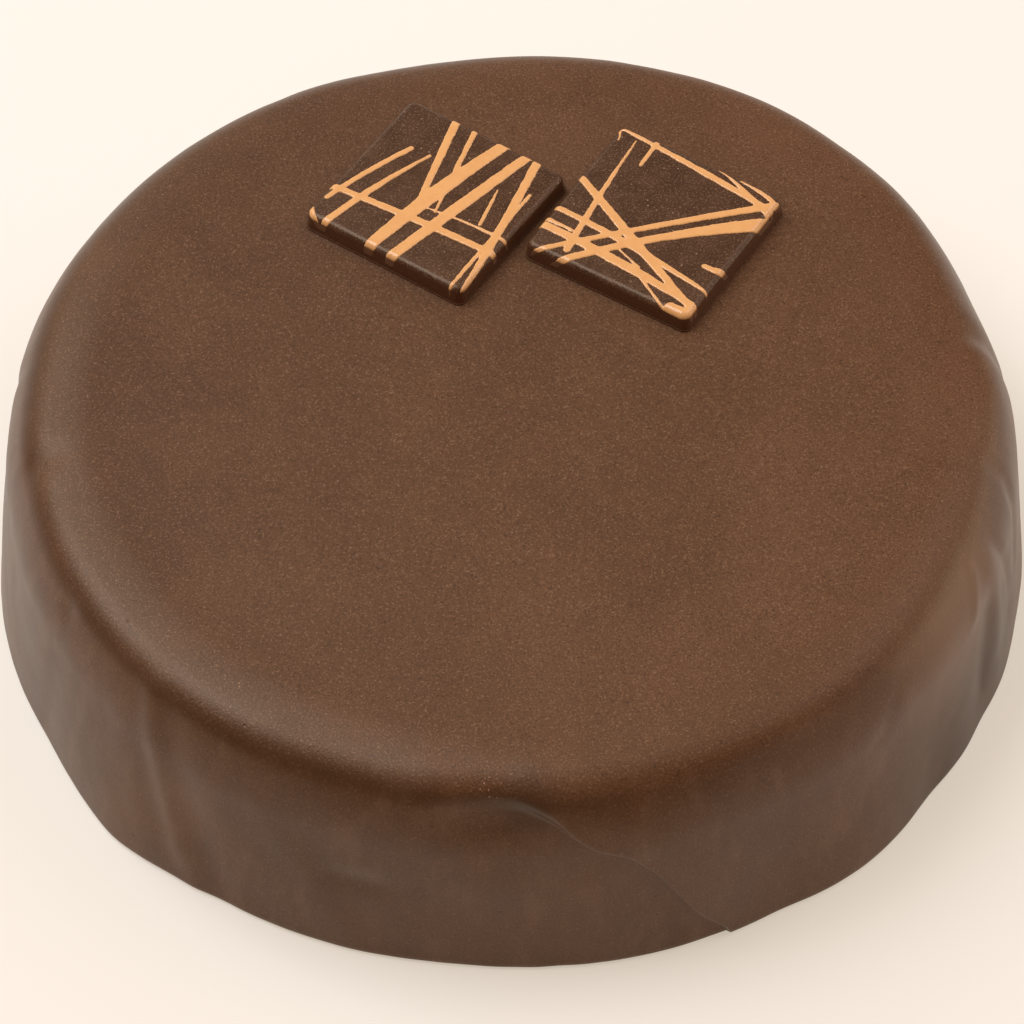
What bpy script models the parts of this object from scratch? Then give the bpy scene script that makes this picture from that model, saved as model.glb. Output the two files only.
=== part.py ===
"""A round chocolate biscuit cake with two drizzled chocolate squares on top.

The cake is one solid under a poured chocolate coat: a leaning wall, a wide shoulder, a round
rim, a soft brow and a flat top. The coat has the unevenness of a real one: a lap where its
last layer ends over the first, soft pleats down the wall, swellings and dents. Each square
is a moulded bar piece with rounded upper edges, and the drizzle on it stands a little proud
and runs over its edges.

Units are metres and +Z is up. The origin is where the cake's axis meets its flat underside.
Azimuths are degrees counterclockwise from +X, and a run is the distance up the coat's surface
from the foot. The tables of features are in millimetres and degrees.
"""

import math
from collections import namedtuple

import bmesh
import bpy
from mathutils import Matrix, Vector, noise

MM = 0.001

# The cake's turned form, in millimetres.
CAKE_RADIUS = 95.2
CAKE_HEIGHT = 43.85
WALL_LEAN = 5.6             # degrees that the wall leans inwards
SHOULDER_RADIUS = 22.0      # the wide arc in which the wall turns inwards
SHOULDER_TILT = 58.0        # degrees of slope where shoulder meets rim
RIM_RADIUS = 10.5           # the round edge between wall and top
BROW_RADIUS = 33.0          # the wide soft arc between rim and flat top
BROW_TILT = 14.0            # degrees of slope where brow meets rim
FOOT_ROUND = 0.9            # the small round at the foot

# The turned mesh.
COLUMNS = 176
WALL_RINGS = 7
SHOULDER_RINGS = 5
RIM_RINGS = 7
BROW_RINGS = 3
TOP_RINGS = 3
FOOT_RINGS = 2

# The two chocolate squares, in millimetres and degrees.
SQUARE_FACE = 34.4          # side of the upper face before its edges are rounded
SQUARE_BASE = 35.2          # side at the bottom: the mould has draft
SQUARE_TOP = 47.65          # height of the upper face above the cake's foot
SQUARE_GAP = 0.3            # clearance between a square and the coat
SQUARE_CORNER = 1.6         # rounding of the upright corners
SQUARE_EDGE = 1.1           # rounding of the upper edges
SQUARE_PLACES = {
    "chocolate_square_left": (-13.7, 45.54, -34.1),
    "chocolate_square_right": (26.5, 38.99, -32.0),
}
DRIZZLE_RELIEF = 0.28       # how far the drizzle stands proud of the square
DRIZZLE_SKIRT = 1.4         # height above a square's bottom at which overrunning drizzle stops
STROKE_STEPS = 4            # straight steps along one bowed stroke

# Swellings and hollows of the whole wall: azimuth, half width in degrees, amount outwards.
Swell = namedtuple("Swell", "azimuth half_width amount")
FOOT_SWELLS = (
    Swell(-137.5, 12.0, 1.5),
    Swell(-152.0, 6.0, -0.5),
    Swell(-136.5, 4.5, 0.7),
    Swell(-96.0, 10.0, -0.5),
    Swell(-49.5, 9.0, 1.4),
    Swell(-60.0, 4.0, -0.5),
    Swell(-37.0, 4.0, -0.5),
    Swell(-25.0, 3.5, -0.5),
    Swell(-10.0, 5.0, -0.4),
    Swell(24.0, 9.0, 0.5),
    Swell(63.0, 8.0, -0.5),
    Swell(94.0, 12.0, -0.6),
    Swell(131.0, 9.0, 0.8),
    Swell(180.0, 10.0, -0.7),
)
RIM_SWELLS = (
    Swell(-3.0, 9.0, 0.15),
    Swell(18.0, 8.0, -0.6),
    Swell(36.0, 8.0, 0.7),
    Swell(57.0, 18.0, 1.3),
    Swell(100.0, 12.0, -0.9),
    Swell(177.0, 11.0, -0.6),
    Swell(-168.0, 7.0, -0.6),
    Swell(-111.0, 8.0, -0.5),
    Swell(-90.0, 8.0, -0.7),
)
# Where the rim is rounder (+) or tighter (-) than elsewhere, by how far its middle stands back.
RIM_SOFTENINGS = (
    Swell(-140.0, 38.0, -0.5),
    Swell(-93.0, 12.0, -0.35),
    Swell(-68.0, 12.0, -0.25),
    Swell(-172.0, 11.0, -0.45),
)

# Soft ridges (+) and creases (-) along a line on the wall: both ends as azimuth and run, then
# the half width and the height.
Pleat = namedtuple("Pleat", "azimuth_low run_low azimuth_high run_high half_width height")
PLEATS = (
    Pleat(-126.3, 2.0, -134.6, 40.0, 2.6, 0.46),
    Pleat(-130.8, 2.0, -139.6, 38.0, 4.5, 0.20),
    Pleat(-122.6, 2.0, -130.2, 37.0, 3.2, -0.26),
    Pleat(-108.0, 3.0, -117.0, 28.0, 4.4, 0.18),
    Pleat(-103.5, 3.0, -112.0, 26.0, 4.2, -0.14),
    Pleat(-84.5, 0.0, -85.5, 27.0, 2.8, -0.24),
    Pleat(-152.0, 4.0, -150.0, 36.0, 3.2, -0.14),
    Pleat(-45.5, 28.0, -40.0, 38.0, 2.6, -0.14),
    Pleat(-24.5, 9.0, -22.0, 29.0, 2.8, -0.55),
    Pleat(-26.0, 30.0, -22.0, 39.0, 1.8, 0.32),
    Pleat(-20.0, 12.0, -19.5, 37.0, 2.6, 0.36),
    Pleat(-14.2, 19.0, -17.0, 35.0, 1.7, -0.42),
    Pleat(-10.4, 18.0, -8.4, 37.0, 2.0, -0.45),
    Pleat(4.0, 4.0, 9.0, 36.0, 2.4, -0.50),
    Pleat(29.0, 0.0, 24.0, 30.0, 2.8, 0.50),
    Pleat(58.0, 3.0, 66.0, 34.0, 2.6, -0.45),
    Pleat(88.0, 0.0, 83.0, 26.0, 3.0, 0.45),
    Pleat(113.0, 6.0, 119.0, 37.0, 2.4, -0.45),
    Pleat(146.0, 2.0, 139.0, 31.0, 2.8, 0.50),
    Pleat(168.0, 3.0, 172.0, 35.0, 2.4, -0.40),
)

# Round hollows (-) and pillows (+): azimuth, run, half widths, amount.
Dent = namedtuple("Dent", "azimuth run half_width half_height amount")
DENTS = (
    Dent(-93.0, 37.0, 9.0, 5.5, -0.80),
    Dent(-90.5, 22.0, 8.0, 6.0, 0.38),
    Dent(-106.5, 19.0, 5.5, 2.6, -0.50),
    Dent(-24.0, 41.0, 27.0, 8.0, -1.20),
    Dent(-171.0, 44.5, 3.2, 4.5, -0.55),
    Dent(-150.5, 38.5, 2.2, 2.4, -0.28),
    Dent(-8.4, 40.8, 2.2, 2.4, -0.32),
    Dent(-15.0, 12.0, 4.0, 6.5, -0.40),
    Dent(3.0, 41.0, 7.0, 6.5, 0.5),
    Dent(11.5, 42.0, 3.2, 6.0, -0.8),
    Dent(73.0, 37.0, 6.0, 4.0, -0.5),
    Dent(127.0, 22.0, 8.0, 6.0, -0.4),
)

# The lap: the lip where the coat's last layer ends. It climbs from the foot, turns level under
# the rim and dies away. Each point is an azimuth and a run, the share of the layer's height
# that is left there, and half the width of its edge.
Lip = namedtuple("Lip", "azimuth run share half_width")
LAP = (
    Lip(-66.0, -4.0, 0.45, 0.30),
    Lip(-66.1, 1.2, 0.45, 0.30),
    Lip(-68.8, 6.9, 0.70, 0.30),
    Lip(-70.6, 11.5, 0.90, 0.30),
    Lip(-72.4, 17.0, 1.00, 0.30),
    Lip(-74.2, 22.3, 1.00, 0.30),
    Lip(-75.9, 25.9, 1.00, 0.30),
    Lip(-77.5, 28.7, 1.00, 0.30),
    Lip(-79.4, 30.0, 1.00, 0.32),
    Lip(-81.2, 31.5, 1.00, 0.36),
    Lip(-82.9, 33.7, 1.00, 0.45),
    Lip(-85.0, 37.2, 1.00, 0.65),
    Lip(-88.0, 40.1, 0.80, 1.10),
    Lip(-90.4, 41.2, 0.60, 1.70),
    Lip(-92.7, 41.5, 0.42, 2.20),
    Lip(-96.5, 40.4, 0.22, 2.80),
    Lip(-99.5, 38.2, 0.10, 3.20),
    Lip(-104.0, 36.0, 0.0, 3.60),
)
LAP_RISING = 12             # how many of those points climb steeply
LAP_STEPS = 4               # straight steps between two of them
LAP_RADIUS = 92.0           # the radius at which azimuths are turned to lengths
LAP_HEIGHT = 0.95           # the layer's thickness at its lip
LAP_FADE = 26.0             # distance behind the lip over which it flows out
LAP_BULGE = 0.3             # the soft swelling behind the lip
LAP_HOLLOW = 0.45           # how far the coat stands back in front of the lip
LAP_COLUMN = 38             # the mesh column, clockwise from +X, that follows the lip
LAP_PULL = 0.887            # how hard the neighbouring columns are drawn towards the lip
LAP_PULL_WIDTH = 6.0        # degrees over which they are
LAP_BEND_WIDTH = 38.0       # degrees over which the columns bend with the lip

RIPPLE_HEIGHT = 0.22        # the coat's fine unevenness on the wall
RIPPLE_LENGTH = 19.0
TOP_RIPPLE_HEIGHT = 0.08    # and on the top, where it is nearly level

# The drizzle, in each square's own millimetres: u to its right, v to its back. A stroke runs
# from one point to another, bows sideways at its middle, and has a width at start, middle, end.
Stroke = namedtuple("Stroke", "start end bow widths")
DRIZZLE = {
    "chocolate_square_left": (
        Stroke((4.5, 19.5), (-3.2, -19.5), -0.8, (2.1, 3.2, 2.2)),
        Stroke((9.4, 19.5), (1.4, -19.5), 0.0, (1.9, 2.4, 2.1)),
        Stroke((-7.7, 19.5), (-1.6, -3.0), 0.0, (1.7, 1.5, 1.1)),
        Stroke((-3.4, 19.5), (2.4, -3.8), 0.0, (1.2, 0.9, 0.6)),
        Stroke((10.6, 19.5), (18.0, -19.5), 0.35, (1.7, 1.6, 1.2)),
        Stroke((-19.5, -9.4), (19.5, -6.2), 0.4, (1.3, 1.6, 1.4)),
        Stroke((2.0, -3.7), (19.5, -2.5), 0.5, (0.6, 0.7, 0.9)),
        Stroke((-10.2, 6.6), (-16.2, -11.9), -0.4, (1.1, 1.1, 1.0)),
        Stroke((-6.3, 7.0), (-13.4, -19.5), -0.7, (0.8, 1.3, 1.5)),
        Stroke((-18.5, -14.6), (-13.6, -19.2), 0.0, (1.2, 1.3, 1.5)),
    ),
    "chocolate_square_right": (
        Stroke((-17.2, 16.4), (19.5, 13.0), 0.3, (0.7, 1.4, 1.2)),
        Stroke((4.0, 17.0), (19.0, 11.2), 0.3, (0.6, 0.9, 1.2)),
        Stroke((-9.6, 19.5), (-9.2, 10.3), 0.0, (1.2, 0.9, 0.6)),
        Stroke((-12.9, 12.4), (-9.9, -14.6), -0.2, (0.6, 1.0, 1.3)),
        Stroke((-19.5, 3.2), (19.5, -16.2), 0.0, (1.4, 1.9, 1.2)),
        Stroke((-19.5, -6.7), (19.5, -10.4), 0.9, (1.1, 1.6, 0.7)),
        Stroke((-19.5, -11.6), (19.5, -14.4), 0.8, (1.6, 2.1, 1.2)),
        Stroke((-16.4, -19.5), (19.5, 17.2), 0.5, (1.1, 1.3, 1.7)),
        Stroke((-11.2, -19.5), (19.5, 11.2), 1.5, (1.5, 1.7, 3.4)),
        Stroke((13.6, -4.7), (19.5, -3.2), -0.5, (1.0, 1.5, 1.3)),
        Stroke((13.4, -16.6), (19.0, -16.6), 0.0, (2.4, 2.6, 2.4)),
    ),
}

COAT_COLOUR = (0.150, 0.069, 0.036)
SQUARE_COLOUR = (0.073, 0.033, 0.019)


def ease(value, start, end):
    """Smooth step from 0 at start to 1 at end; start may be the larger."""
    share = min(max((value - start) / (end - start), 0.0), 1.0)
    return share * share * (3.0 - 2.0 * share)


def turn_between(azimuth, centre):
    """The angle from centre to azimuth, between -180 and 180 degrees."""
    return (azimuth - centre + 180.0) % 360.0 - 180.0


def bell(distance, half_width):
    """A soft bump of height 1."""
    return math.exp(-((distance / half_width) ** 2))


def smooth_table(value, knots, values):
    """Read a table between its knots with a curve that has no corners."""
    if value <= knots[0]:
        return values[0]
    for i in range(len(knots) - 1):
        if value <= knots[i + 1]:
            break
    else:
        return values[-1]

    def slope(k):
        low, high = max(k - 1, 0), min(k + 1, len(knots) - 1)
        return (values[high] - values[low]) / (knots[high] - knots[low])

    width = knots[i + 1] - knots[i]
    t = (value - knots[i]) / width
    return (
        values[i] * (1 + 2 * t) * (1 - t) ** 2
        + values[i + 1] * t * t * (3 - 2 * t)
        + width * slope(i) * t * (1 - t) ** 2
        - width * slope(i + 1) * t * t * (1 - t)
    )


class Profile:
    """The turned outline, read by the distance run up the surface from the foot."""

    def __init__(self):
        wall_tilt = math.radians(90.0 - WALL_LEAN)
        shoulder_tilt = math.radians(SHOULDER_TILT)
        brow_tilt = math.radians(BROW_TILT)
        arcs = (
            (SHOULDER_RADIUS, wall_tilt, shoulder_tilt),
            (RIM_RADIUS, shoulder_tilt, brow_tilt),
            (BROW_RADIUS, brow_tilt, 0.0),
        )
        arcs_height = sum(r * (math.cos(high) - math.cos(low)) for r, low, high in arcs)
        self.wall_tilt = wall_tilt
        self.wall_end = (CAKE_HEIGHT - arcs_height) / math.sin(wall_tilt)
        run, radius = self.wall_end, CAKE_RADIUS - self.wall_end * math.cos(wall_tilt)
        height = CAKE_HEIGHT - arcs_height
        self.arcs = []
        for arc_radius, low, high in arcs:
            end = run + arc_radius * (low - high)
            self.arcs.append((run, end, radius, height, arc_radius, low))
            radius -= arc_radius * (math.sin(low) - math.sin(high))
            height += arc_radius * (math.cos(high) - math.cos(low))
            run = end
        self.shoulder_end, self.rim_end, self.brow_end = (arc[1] for arc in self.arcs)
        self.flat_radius = radius

    def at(self, run):
        """Radius, height and tilt of the outward normal (0 is straight up) at a run."""
        if run <= self.wall_end:
            radius = CAKE_RADIUS - run * math.cos(self.wall_tilt)
            return radius, run * math.sin(self.wall_tilt), self.wall_tilt
        for start, end, radius, height, arc_radius, low in self.arcs:
            if run < end:
                tilt = low - (run - start) / arc_radius
                radius -= arc_radius * (math.sin(low) - math.sin(tilt))
                return radius, height + arc_radius * (math.cos(tilt) - math.cos(low)), tilt
        return self.flat_radius - (run - self.brow_end), CAKE_HEIGHT, 0.0

    def stations(self):
        """The rings of the turned mesh, from the foot up, as runs."""
        zones = (
            (FOOT_ROUND, self.wall_end, WALL_RINGS),
            (self.wall_end, self.shoulder_end, SHOULDER_RINGS),
            (self.shoulder_end, self.rim_end, RIM_RINGS),
            (self.rim_end, self.brow_end, BROW_RINGS),
            (self.brow_end, self.brow_end + self.flat_radius, TOP_RINGS),
        )
        runs = [low + (high - low) * k / rings for low, high, rings in zones for k in range(rings)]
        return runs + [self.brow_end + self.flat_radius]


PROFILE = Profile()


def lap_azimuth(run):
    """Where the steep part of the lap's lip lies at a distance up the surface."""
    rising = LAP[:LAP_RISING]
    return smooth_table(run, [lip.run for lip in rising], [lip.azimuth for lip in rising])


def lap_path():
    """The lip as many short steps: length along the wall, run, share, half width."""
    knots = list(range(len(LAP)))
    columns = list(zip(*LAP))
    path = []
    for k in range((len(LAP) - 1) * LAP_STEPS + 1):
        azimuth, run, share, half = (smooth_table(k / LAP_STEPS, knots, c) for c in columns)
        path.append((math.radians(azimuth) * LAP_RADIUS, run, share, half))
    return path


LAP_PATH = lap_path()


def arc_length(run, angle):
    """Millimetres along the surface for an angle in degrees."""
    return math.radians(angle) * PROFILE.at(max(run, 0.0))[0]


def pleat_relief(azimuth, run):
    """All pleats' share of the relief at a place on the wall."""
    total = 0.0
    for pleat in PLEATS:
        rise = pleat.run_high - pleat.run_low
        share = (run - pleat.run_low) / rise
        centre = pleat.azimuth_low + share * (pleat.azimuth_high - pleat.azimuth_low)
        away = turn_between(azimuth, centre)
        if abs(away) > 12.0:
            continue
        fade = ease(share, -0.25, 0.2) * ease(share, 1.25, 0.8)
        total += pleat.height * fade * bell(arc_length(run, away), pleat.half_width)
    return total


def dent_relief(azimuth, run):
    """All round hollows' and pillows' share."""
    total = 0.0
    for dent in DENTS:
        away = turn_between(azimuth, dent.azimuth)
        if abs(away) > 60.0:
            continue
        across = bell(arc_length(run, away), dent.half_width)
        total += dent.amount * across * bell(run - dent.run, dent.half_height)
    return total


def swell_relief(azimuth, run):
    """The wide unevenness of foot and rim, and where the rim is rounder."""
    foot = ease(run, 34.0, 0.0)
    rim_middle = 0.5 * (PROFILE.shoulder_end + PROFILE.rim_end)
    rim = ease(run, 6.0, 33.0) * ease(run, PROFILE.rim_end + 6.0, PROFILE.rim_end - 6.0)
    total = 0.0
    for swell in FOOT_SWELLS:
        total += foot * swell.amount * bell(turn_between(azimuth, swell.azimuth), swell.half_width)
    for swell in RIM_SWELLS:
        total += rim * swell.amount * bell(turn_between(azimuth, swell.azimuth), swell.half_width)
    for swell in RIM_SOFTENINGS:
        away = bell(turn_between(azimuth, swell.azimuth), swell.half_width)
        total -= swell.amount * away * bell(run - rim_middle, 5.5)
    return total


def lap_relief(azimuth, run):
    """The coat's last layer: proud at its lip, flowing out behind it, hollow in front."""
    azimuth = turn_between(azimuth, 0.0)
    if not -130.0 < azimuth < -35.0:
        return 0.0
    x = math.radians(azimuth) * LAP_RADIUS
    nearest = None
    for (ax, ay, a_share, a_half), (bx, by, b_share, b_half) in zip(LAP_PATH, LAP_PATH[1:]):
        dx, dy = bx - ax, by - ay
        t = min(max(((x - ax) * dx + (run - ay) * dy) / (dx * dx + dy * dy), 0.0), 1.0)
        distance = math.hypot(x - ax - t * dx, run - ay - t * dy)
        if nearest is None or distance < nearest[0]:
            behind = (x - ax) * dy - (run - ay) * dx > 0.0
            share, half = a_share + t * (b_share - a_share), a_half + t * (b_half - a_half)
            nearest = (distance, behind, share, half)
    distance, behind, share, half = nearest
    distance = distance if behind else -distance
    step = ease(distance, -half, half)
    layer = LAP_HEIGHT * ease(distance, LAP_FADE, 0.0) + LAP_BULGE * bell(distance - 4.0, 6.0)
    return share * (step * layer - (1.0 - step) * LAP_HOLLOW * bell(distance, 7.0))


def ripple_relief(position, run):
    """Fine unevenness that fades from the wall to the top."""
    level = ease(run, PROFILE.shoulder_end, PROFILE.rim_end)
    height = RIPPLE_HEIGHT + (TOP_RIPPLE_HEIGHT - RIPPLE_HEIGHT) * level
    return height * noise.noise(position / RIPPLE_LENGTH)


def bent_azimuth(azimuth, run):
    """Bend the mesh columns near the lap along its lip, and draw them close to it."""
    home = -LAP_COLUMN * 360.0 / COLUMNS
    away = turn_between(azimuth, home)
    drawn = away * (1.0 - LAP_PULL * bell(away, LAP_PULL_WIDTH))
    ending = ease(run, PROFILE.brow_end, PROFILE.rim_end - 4.0)
    bend = (lap_azimuth(run) - home) * bell(away, LAP_BEND_WIDTH) * ending
    return home + away + (drawn - away) * ending + bend


def coat_point(azimuth, run):
    """The finished surface at an azimuth and a run, in millimetres."""
    radius, height, tilt = PROFILE.at(run)
    angle = math.radians(azimuth)
    outward = Vector((math.cos(angle), math.sin(angle), 0.0))
    place = outward * radius + Vector((0.0, 0.0, height))
    relief = ripple_relief(place, run)
    relief += swell_relief(azimuth, run)
    if run < PROFILE.brow_end:
        local = pleat_relief(azimuth, run)
        local += dent_relief(azimuth, run)
        local += lap_relief(azimuth, run)
        relief += local * ease(run, PROFILE.brow_end, PROFILE.rim_end)
    relief *= ease(run, PROFILE.brow_end + 60.0, PROFILE.brow_end)
    lift = math.cos(tilt) * ease(run, 0.0, 8.0)
    return place + outward * relief * math.sin(tilt) + Vector((0.0, 0.0, relief * lift))


def new_collection(name):
    """A collection under the scene's own."""
    collection = bpy.data.collections.new(name)
    bpy.context.scene.collection.children.link(collection)
    return collection


def new_object(name, mesh, collection):
    """An object of a mesh, linked to a collection."""
    thing = bpy.data.objects.new(name, mesh)
    collection.objects.link(thing)
    return thing


def evaluated_mesh(thing, name):
    """The mesh of an object with its modifiers applied."""
    depsgraph = bpy.context.evaluated_depsgraph_get()
    mesh = bpy.data.meshes.new_from_object(thing.evaluated_get(depsgraph), depsgraph=depsgraph)
    mesh.name = name
    return mesh


def remove_things(things):
    """Take objects out of the file."""
    for thing in list(things):
        bpy.data.objects.remove(thing, do_unlink=True)


def plain_material(name, colour, roughness):
    """A Principled material."""
    material = bpy.data.materials.new(name)
    material.use_nodes = True
    shader = material.node_tree.nodes["Principled BSDF"]
    shader.inputs["Base Color"].default_value = (*colour, 1.0)
    shader.inputs["Roughness"].default_value = roughness
    shader.inputs["Metallic"].default_value = 0.0
    return material


def finish(thing, material):
    """Shade an object smooth with its edges kept, and give it its material."""
    thing.data.materials.clear()
    thing.data.materials.append(material)
    thing.data.shade_smooth()
    thing.data.set_sharp_from_angle(angle=math.radians(40.0))


def turned_profile_mesh():
    """The half outline of the cake, from the middle of the top down and under to the axis."""
    points = []
    for run in reversed(PROFILE.stations()):
        radius, height, _ = PROFILE.at(run)
        points.append((radius * MM, 0.0, height * MM))
    points[0] = (0.0, 0.0, CAKE_HEIGHT * MM)
    radius, height, _ = PROFILE.at(FOOT_ROUND)
    for k in range(1, FOOT_RINGS + 1):
        turn = 0.5 * math.pi * k / FOOT_RINGS
        inset = FOOT_ROUND * (1.0 - math.cos(turn))
        points.append(((radius - inset) * MM, 0.0, height * (1.0 - math.sin(turn)) * MM))
    points.append((0.0, 0.0, 0.0))
    mesh = bpy.data.meshes.new("cake_outline")
    edges = [(k, k + 1) for k in range(len(points) - 1)]
    mesh.from_pydata(points, edges, [])
    return mesh


def distance_to_ring(run, radius, height):
    """How far a point of the turned mesh is from one of its rings."""
    ring_radius, ring_height, _ = PROFILE.at(run)
    return math.hypot(ring_radius - radius, ring_height - height)


def sculpt_coat(mesh):
    """Move the turned mesh's points to the coat's finished surface."""
    stations = PROFILE.stations()
    foot_radius, foot_height, _ = PROFILE.at(FOOT_ROUND)
    for vertex in mesh.vertices:
        x, y, z = (value / MM for value in vertex.co)
        radius = math.hypot(x, y)
        if radius < 0.01:
            continue
        azimuth = math.degrees(math.atan2(y, x))
        if z > foot_height - 0.01:
            run = min(stations, key=lambda ring: distance_to_ring(ring, radius, z))
            vertex.co = coat_point(bent_azimuth(azimuth, run), run) * MM
            continue
        edge = coat_point(bent_azimuth(azimuth, FOOT_ROUND), FOOT_ROUND)
        edge_radius = math.hypot(edge.x, edge.y)
        share = (edge_radius - foot_radius + radius) / edge_radius
        vertex.co = Vector((edge.x * share, edge.y * share, z)) * MM


def build_cake(parts, material):
    """The cake under its coat, as one solid standing on the floor."""
    blank = new_object("cake_blank", turned_profile_mesh(), parts)
    screw = blank.modifiers.new("turn", "SCREW")
    screw.axis = "Z"
    screw.angle = 2.0 * math.pi
    screw.steps = COLUMNS
    screw.render_steps = COLUMNS
    screw.use_merge_vertices = True
    screw.merge_threshold = 0.000001
    screw.use_smooth_shade = True
    mesh = evaluated_mesh(blank, "cake")
    remove_things([blank])
    sculpt_coat(mesh)
    cake = new_object("cake", mesh, parts)
    finish(cake, material)
    return cake


def square_blank(name, collection, grow):
    """A moulded square in its own frame, every face moved outwards by grow millimetres."""
    bottom = CAKE_HEIGHT + SQUARE_GAP
    mesh = bpy.data.meshes.new(name)
    form = bmesh.new()
    bmesh.ops.create_cube(form, size=1.0)
    for vertex in form.verts:
        upper = vertex.co.z > 0.0
        side = (SQUARE_FACE if upper else SQUARE_BASE) + 2.0 * grow
        height = SQUARE_TOP + grow if upper else bottom - grow
        x = math.copysign(0.5 * side, vertex.co.x)
        y = math.copysign(0.5 * side, vertex.co.y)
        vertex.co = Vector((x, y, height)) * MM
    corners = [e for e in form.edges if e.verts[0].co.z * e.verts[1].co.z and is_upright(e)]
    round_edges(form, corners, SQUARE_CORNER + grow)
    upper = [e for e in form.edges if all(v.co.z > (SQUARE_TOP - 0.01) * MM for v in e.verts)]
    round_edges(form, upper, SQUARE_EDGE + grow)
    bmesh.ops.recalc_face_normals(form, faces=form.faces)
    form.to_mesh(mesh)
    form.free()
    return new_object(name, mesh, collection)


def round_edges(form, edges, radius):
    """Round edges with three faces."""
    bmesh.ops.bevel(
        form, geom=edges, offset=radius * MM, segments=3, profile=0.5, affect="EDGES"
    )


def is_upright(edge):
    """Whether an edge runs from the bottom of a square to its top."""
    low, high = sorted(vertex.co.z for vertex in edge.verts)
    return high - low > 0.5 * (SQUARE_TOP - CAKE_HEIGHT - SQUARE_GAP) * MM


def stroke_width(stroke, share):
    """A stroke's width at a share of its length."""
    start, middle, end = stroke.widths
    if share < 0.5:
        return start + (middle - start) * 2.0 * share
    return middle + (end - middle) * (2.0 * share - 1.0)


def stroke_mesh(stroke, name):
    """A bowed ribbon of changing width, as a prism that crosses the square's upper part."""
    start, end = Vector(stroke.start), Vector(stroke.end)
    along = (end - start).normalized()
    side = Vector((-along.y, along.x))
    left, right = [], []
    for k in range(STROKE_STEPS + 1):
        share = k / STROKE_STEPS
        bow = 4.0 * stroke.bow * share * (1.0 - share)
        centre = start.lerp(end, share) + side * bow
        half = 0.5 * stroke_width(stroke, share)
        left.append(centre + side * half)
        right.append(centre - side * half)
    outline = right + left[::-1]
    form = bmesh.new()
    bottom = (CAKE_HEIGHT + SQUARE_GAP + DRIZZLE_SKIRT) * MM
    verts = [form.verts.new((p.x * MM, p.y * MM, bottom)) for p in outline]
    faces = []
    count = len(outline)
    for k in range(STROKE_STEPS):
        quad = (verts[k], verts[k + 1], verts[count - 2 - k], verts[count - 1 - k])
        faces.append(form.faces.new(quad))
    raised = bmesh.ops.extrude_face_region(form, geom=faces)["geom"]
    lift = (SQUARE_TOP + 2.0) * MM - bottom
    tops = [item for item in raised if isinstance(item, bmesh.types.BMVert)]
    bmesh.ops.translate(form, verts=tops, vec=(0.0, 0.0, lift))
    bmesh.ops.recalc_face_normals(form, faces=form.faces)
    mesh = bpy.data.meshes.new(name)
    form.to_mesh(mesh)
    form.free()
    return mesh


def add_boolean(thing, operation, operand=None, collection=None):
    """A Boolean with another object or with a whole collection."""
    boolean = thing.modifiers.new(operation.lower(), "BOOLEAN")
    boolean.operation = operation
    boolean.solver = "EXACT"
    if collection is None:
        boolean.object = operand
    else:
        boolean.operand_type = "COLLECTION"
        boolean.collection = collection


def build_square(name, parts, material):
    """A chocolate square with its drizzle fused on, set in its place on the cake."""
    tools = new_collection(name + "_tools")
    ribbons = new_collection(name + "_ribbons")
    skin = square_blank(name + "_skin", tools, DRIZZLE_RELIEF)
    for number, stroke in enumerate(DRIZZLE[name]):
        prism = new_object("prism", stroke_mesh(stroke, "prism"), tools)
        add_boolean(prism, "INTERSECT", operand=skin)
        new_object(f"{name}_ribbon_{number}", evaluated_mesh(prism, "ribbon"), ribbons)
    square = square_blank(name, parts, 0.0)
    add_boolean(square, "UNION", collection=ribbons)
    mesh = evaluated_mesh(square, name)
    remove_things([square, *tools.objects, *ribbons.objects])
    bpy.data.collections.remove(tools)
    bpy.data.collections.remove(ribbons)
    clean_mesh(mesh)
    x, y, turn = SQUARE_PLACES[name]
    place = Matrix.Translation((x * MM, y * MM, 0.0)) @ Matrix.Rotation(math.radians(turn), 4, "Z")
    mesh.transform(place)
    square = new_object(name, mesh, parts)
    finish(square, material)
    return square


def clean_mesh(mesh):
    """Keep flat faces whole where a Boolean has cut them up."""
    form = bmesh.new()
    form.from_mesh(mesh)
    bmesh.ops.dissolve_limit(
        form, angle_limit=math.radians(0.2), verts=form.verts, edges=form.edges
    )
    bmesh.ops.triangulate(form, faces=form.faces)
    form.to_mesh(mesh)
    form.free()


def main():
    """Build the cake and its two squares."""
    remove_things(bpy.data.objects)
    parts = new_collection("chocolate_biscuit_cake")
    coat = plain_material("chocolate_coat", COAT_COLOUR, 0.5)
    dark = plain_material("dark_chocolate", SQUARE_COLOUR, 0.4)
    build_cake(parts, coat)
    for name in SQUARE_PLACES:
        build_square(name, parts, dark)


main()
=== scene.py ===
"""The looks of a round chocolate biscuit cake with two drizzled chocolate squares.

The poured coat is turned and sculpted, with the lap where its last layer ends, its pleats and
its soft rim. The moulded squares lie on it, and the orange drizzle runs over them and down their
edges. Every length below is in millimetres and every angle in degrees, unless a name says
otherwise, and MM turns a length to metres. A run is the distance up the coat's surface from the
foot, and azimuths are counterclockwise from +X.
"""

import logging
import math
from collections.abc import Callable, Iterable, Mapping, Sequence
from dataclasses import dataclass, field
from enum import Enum

import bpy
import numpy as np
from mathutils import Matrix, Vector, noise


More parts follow.
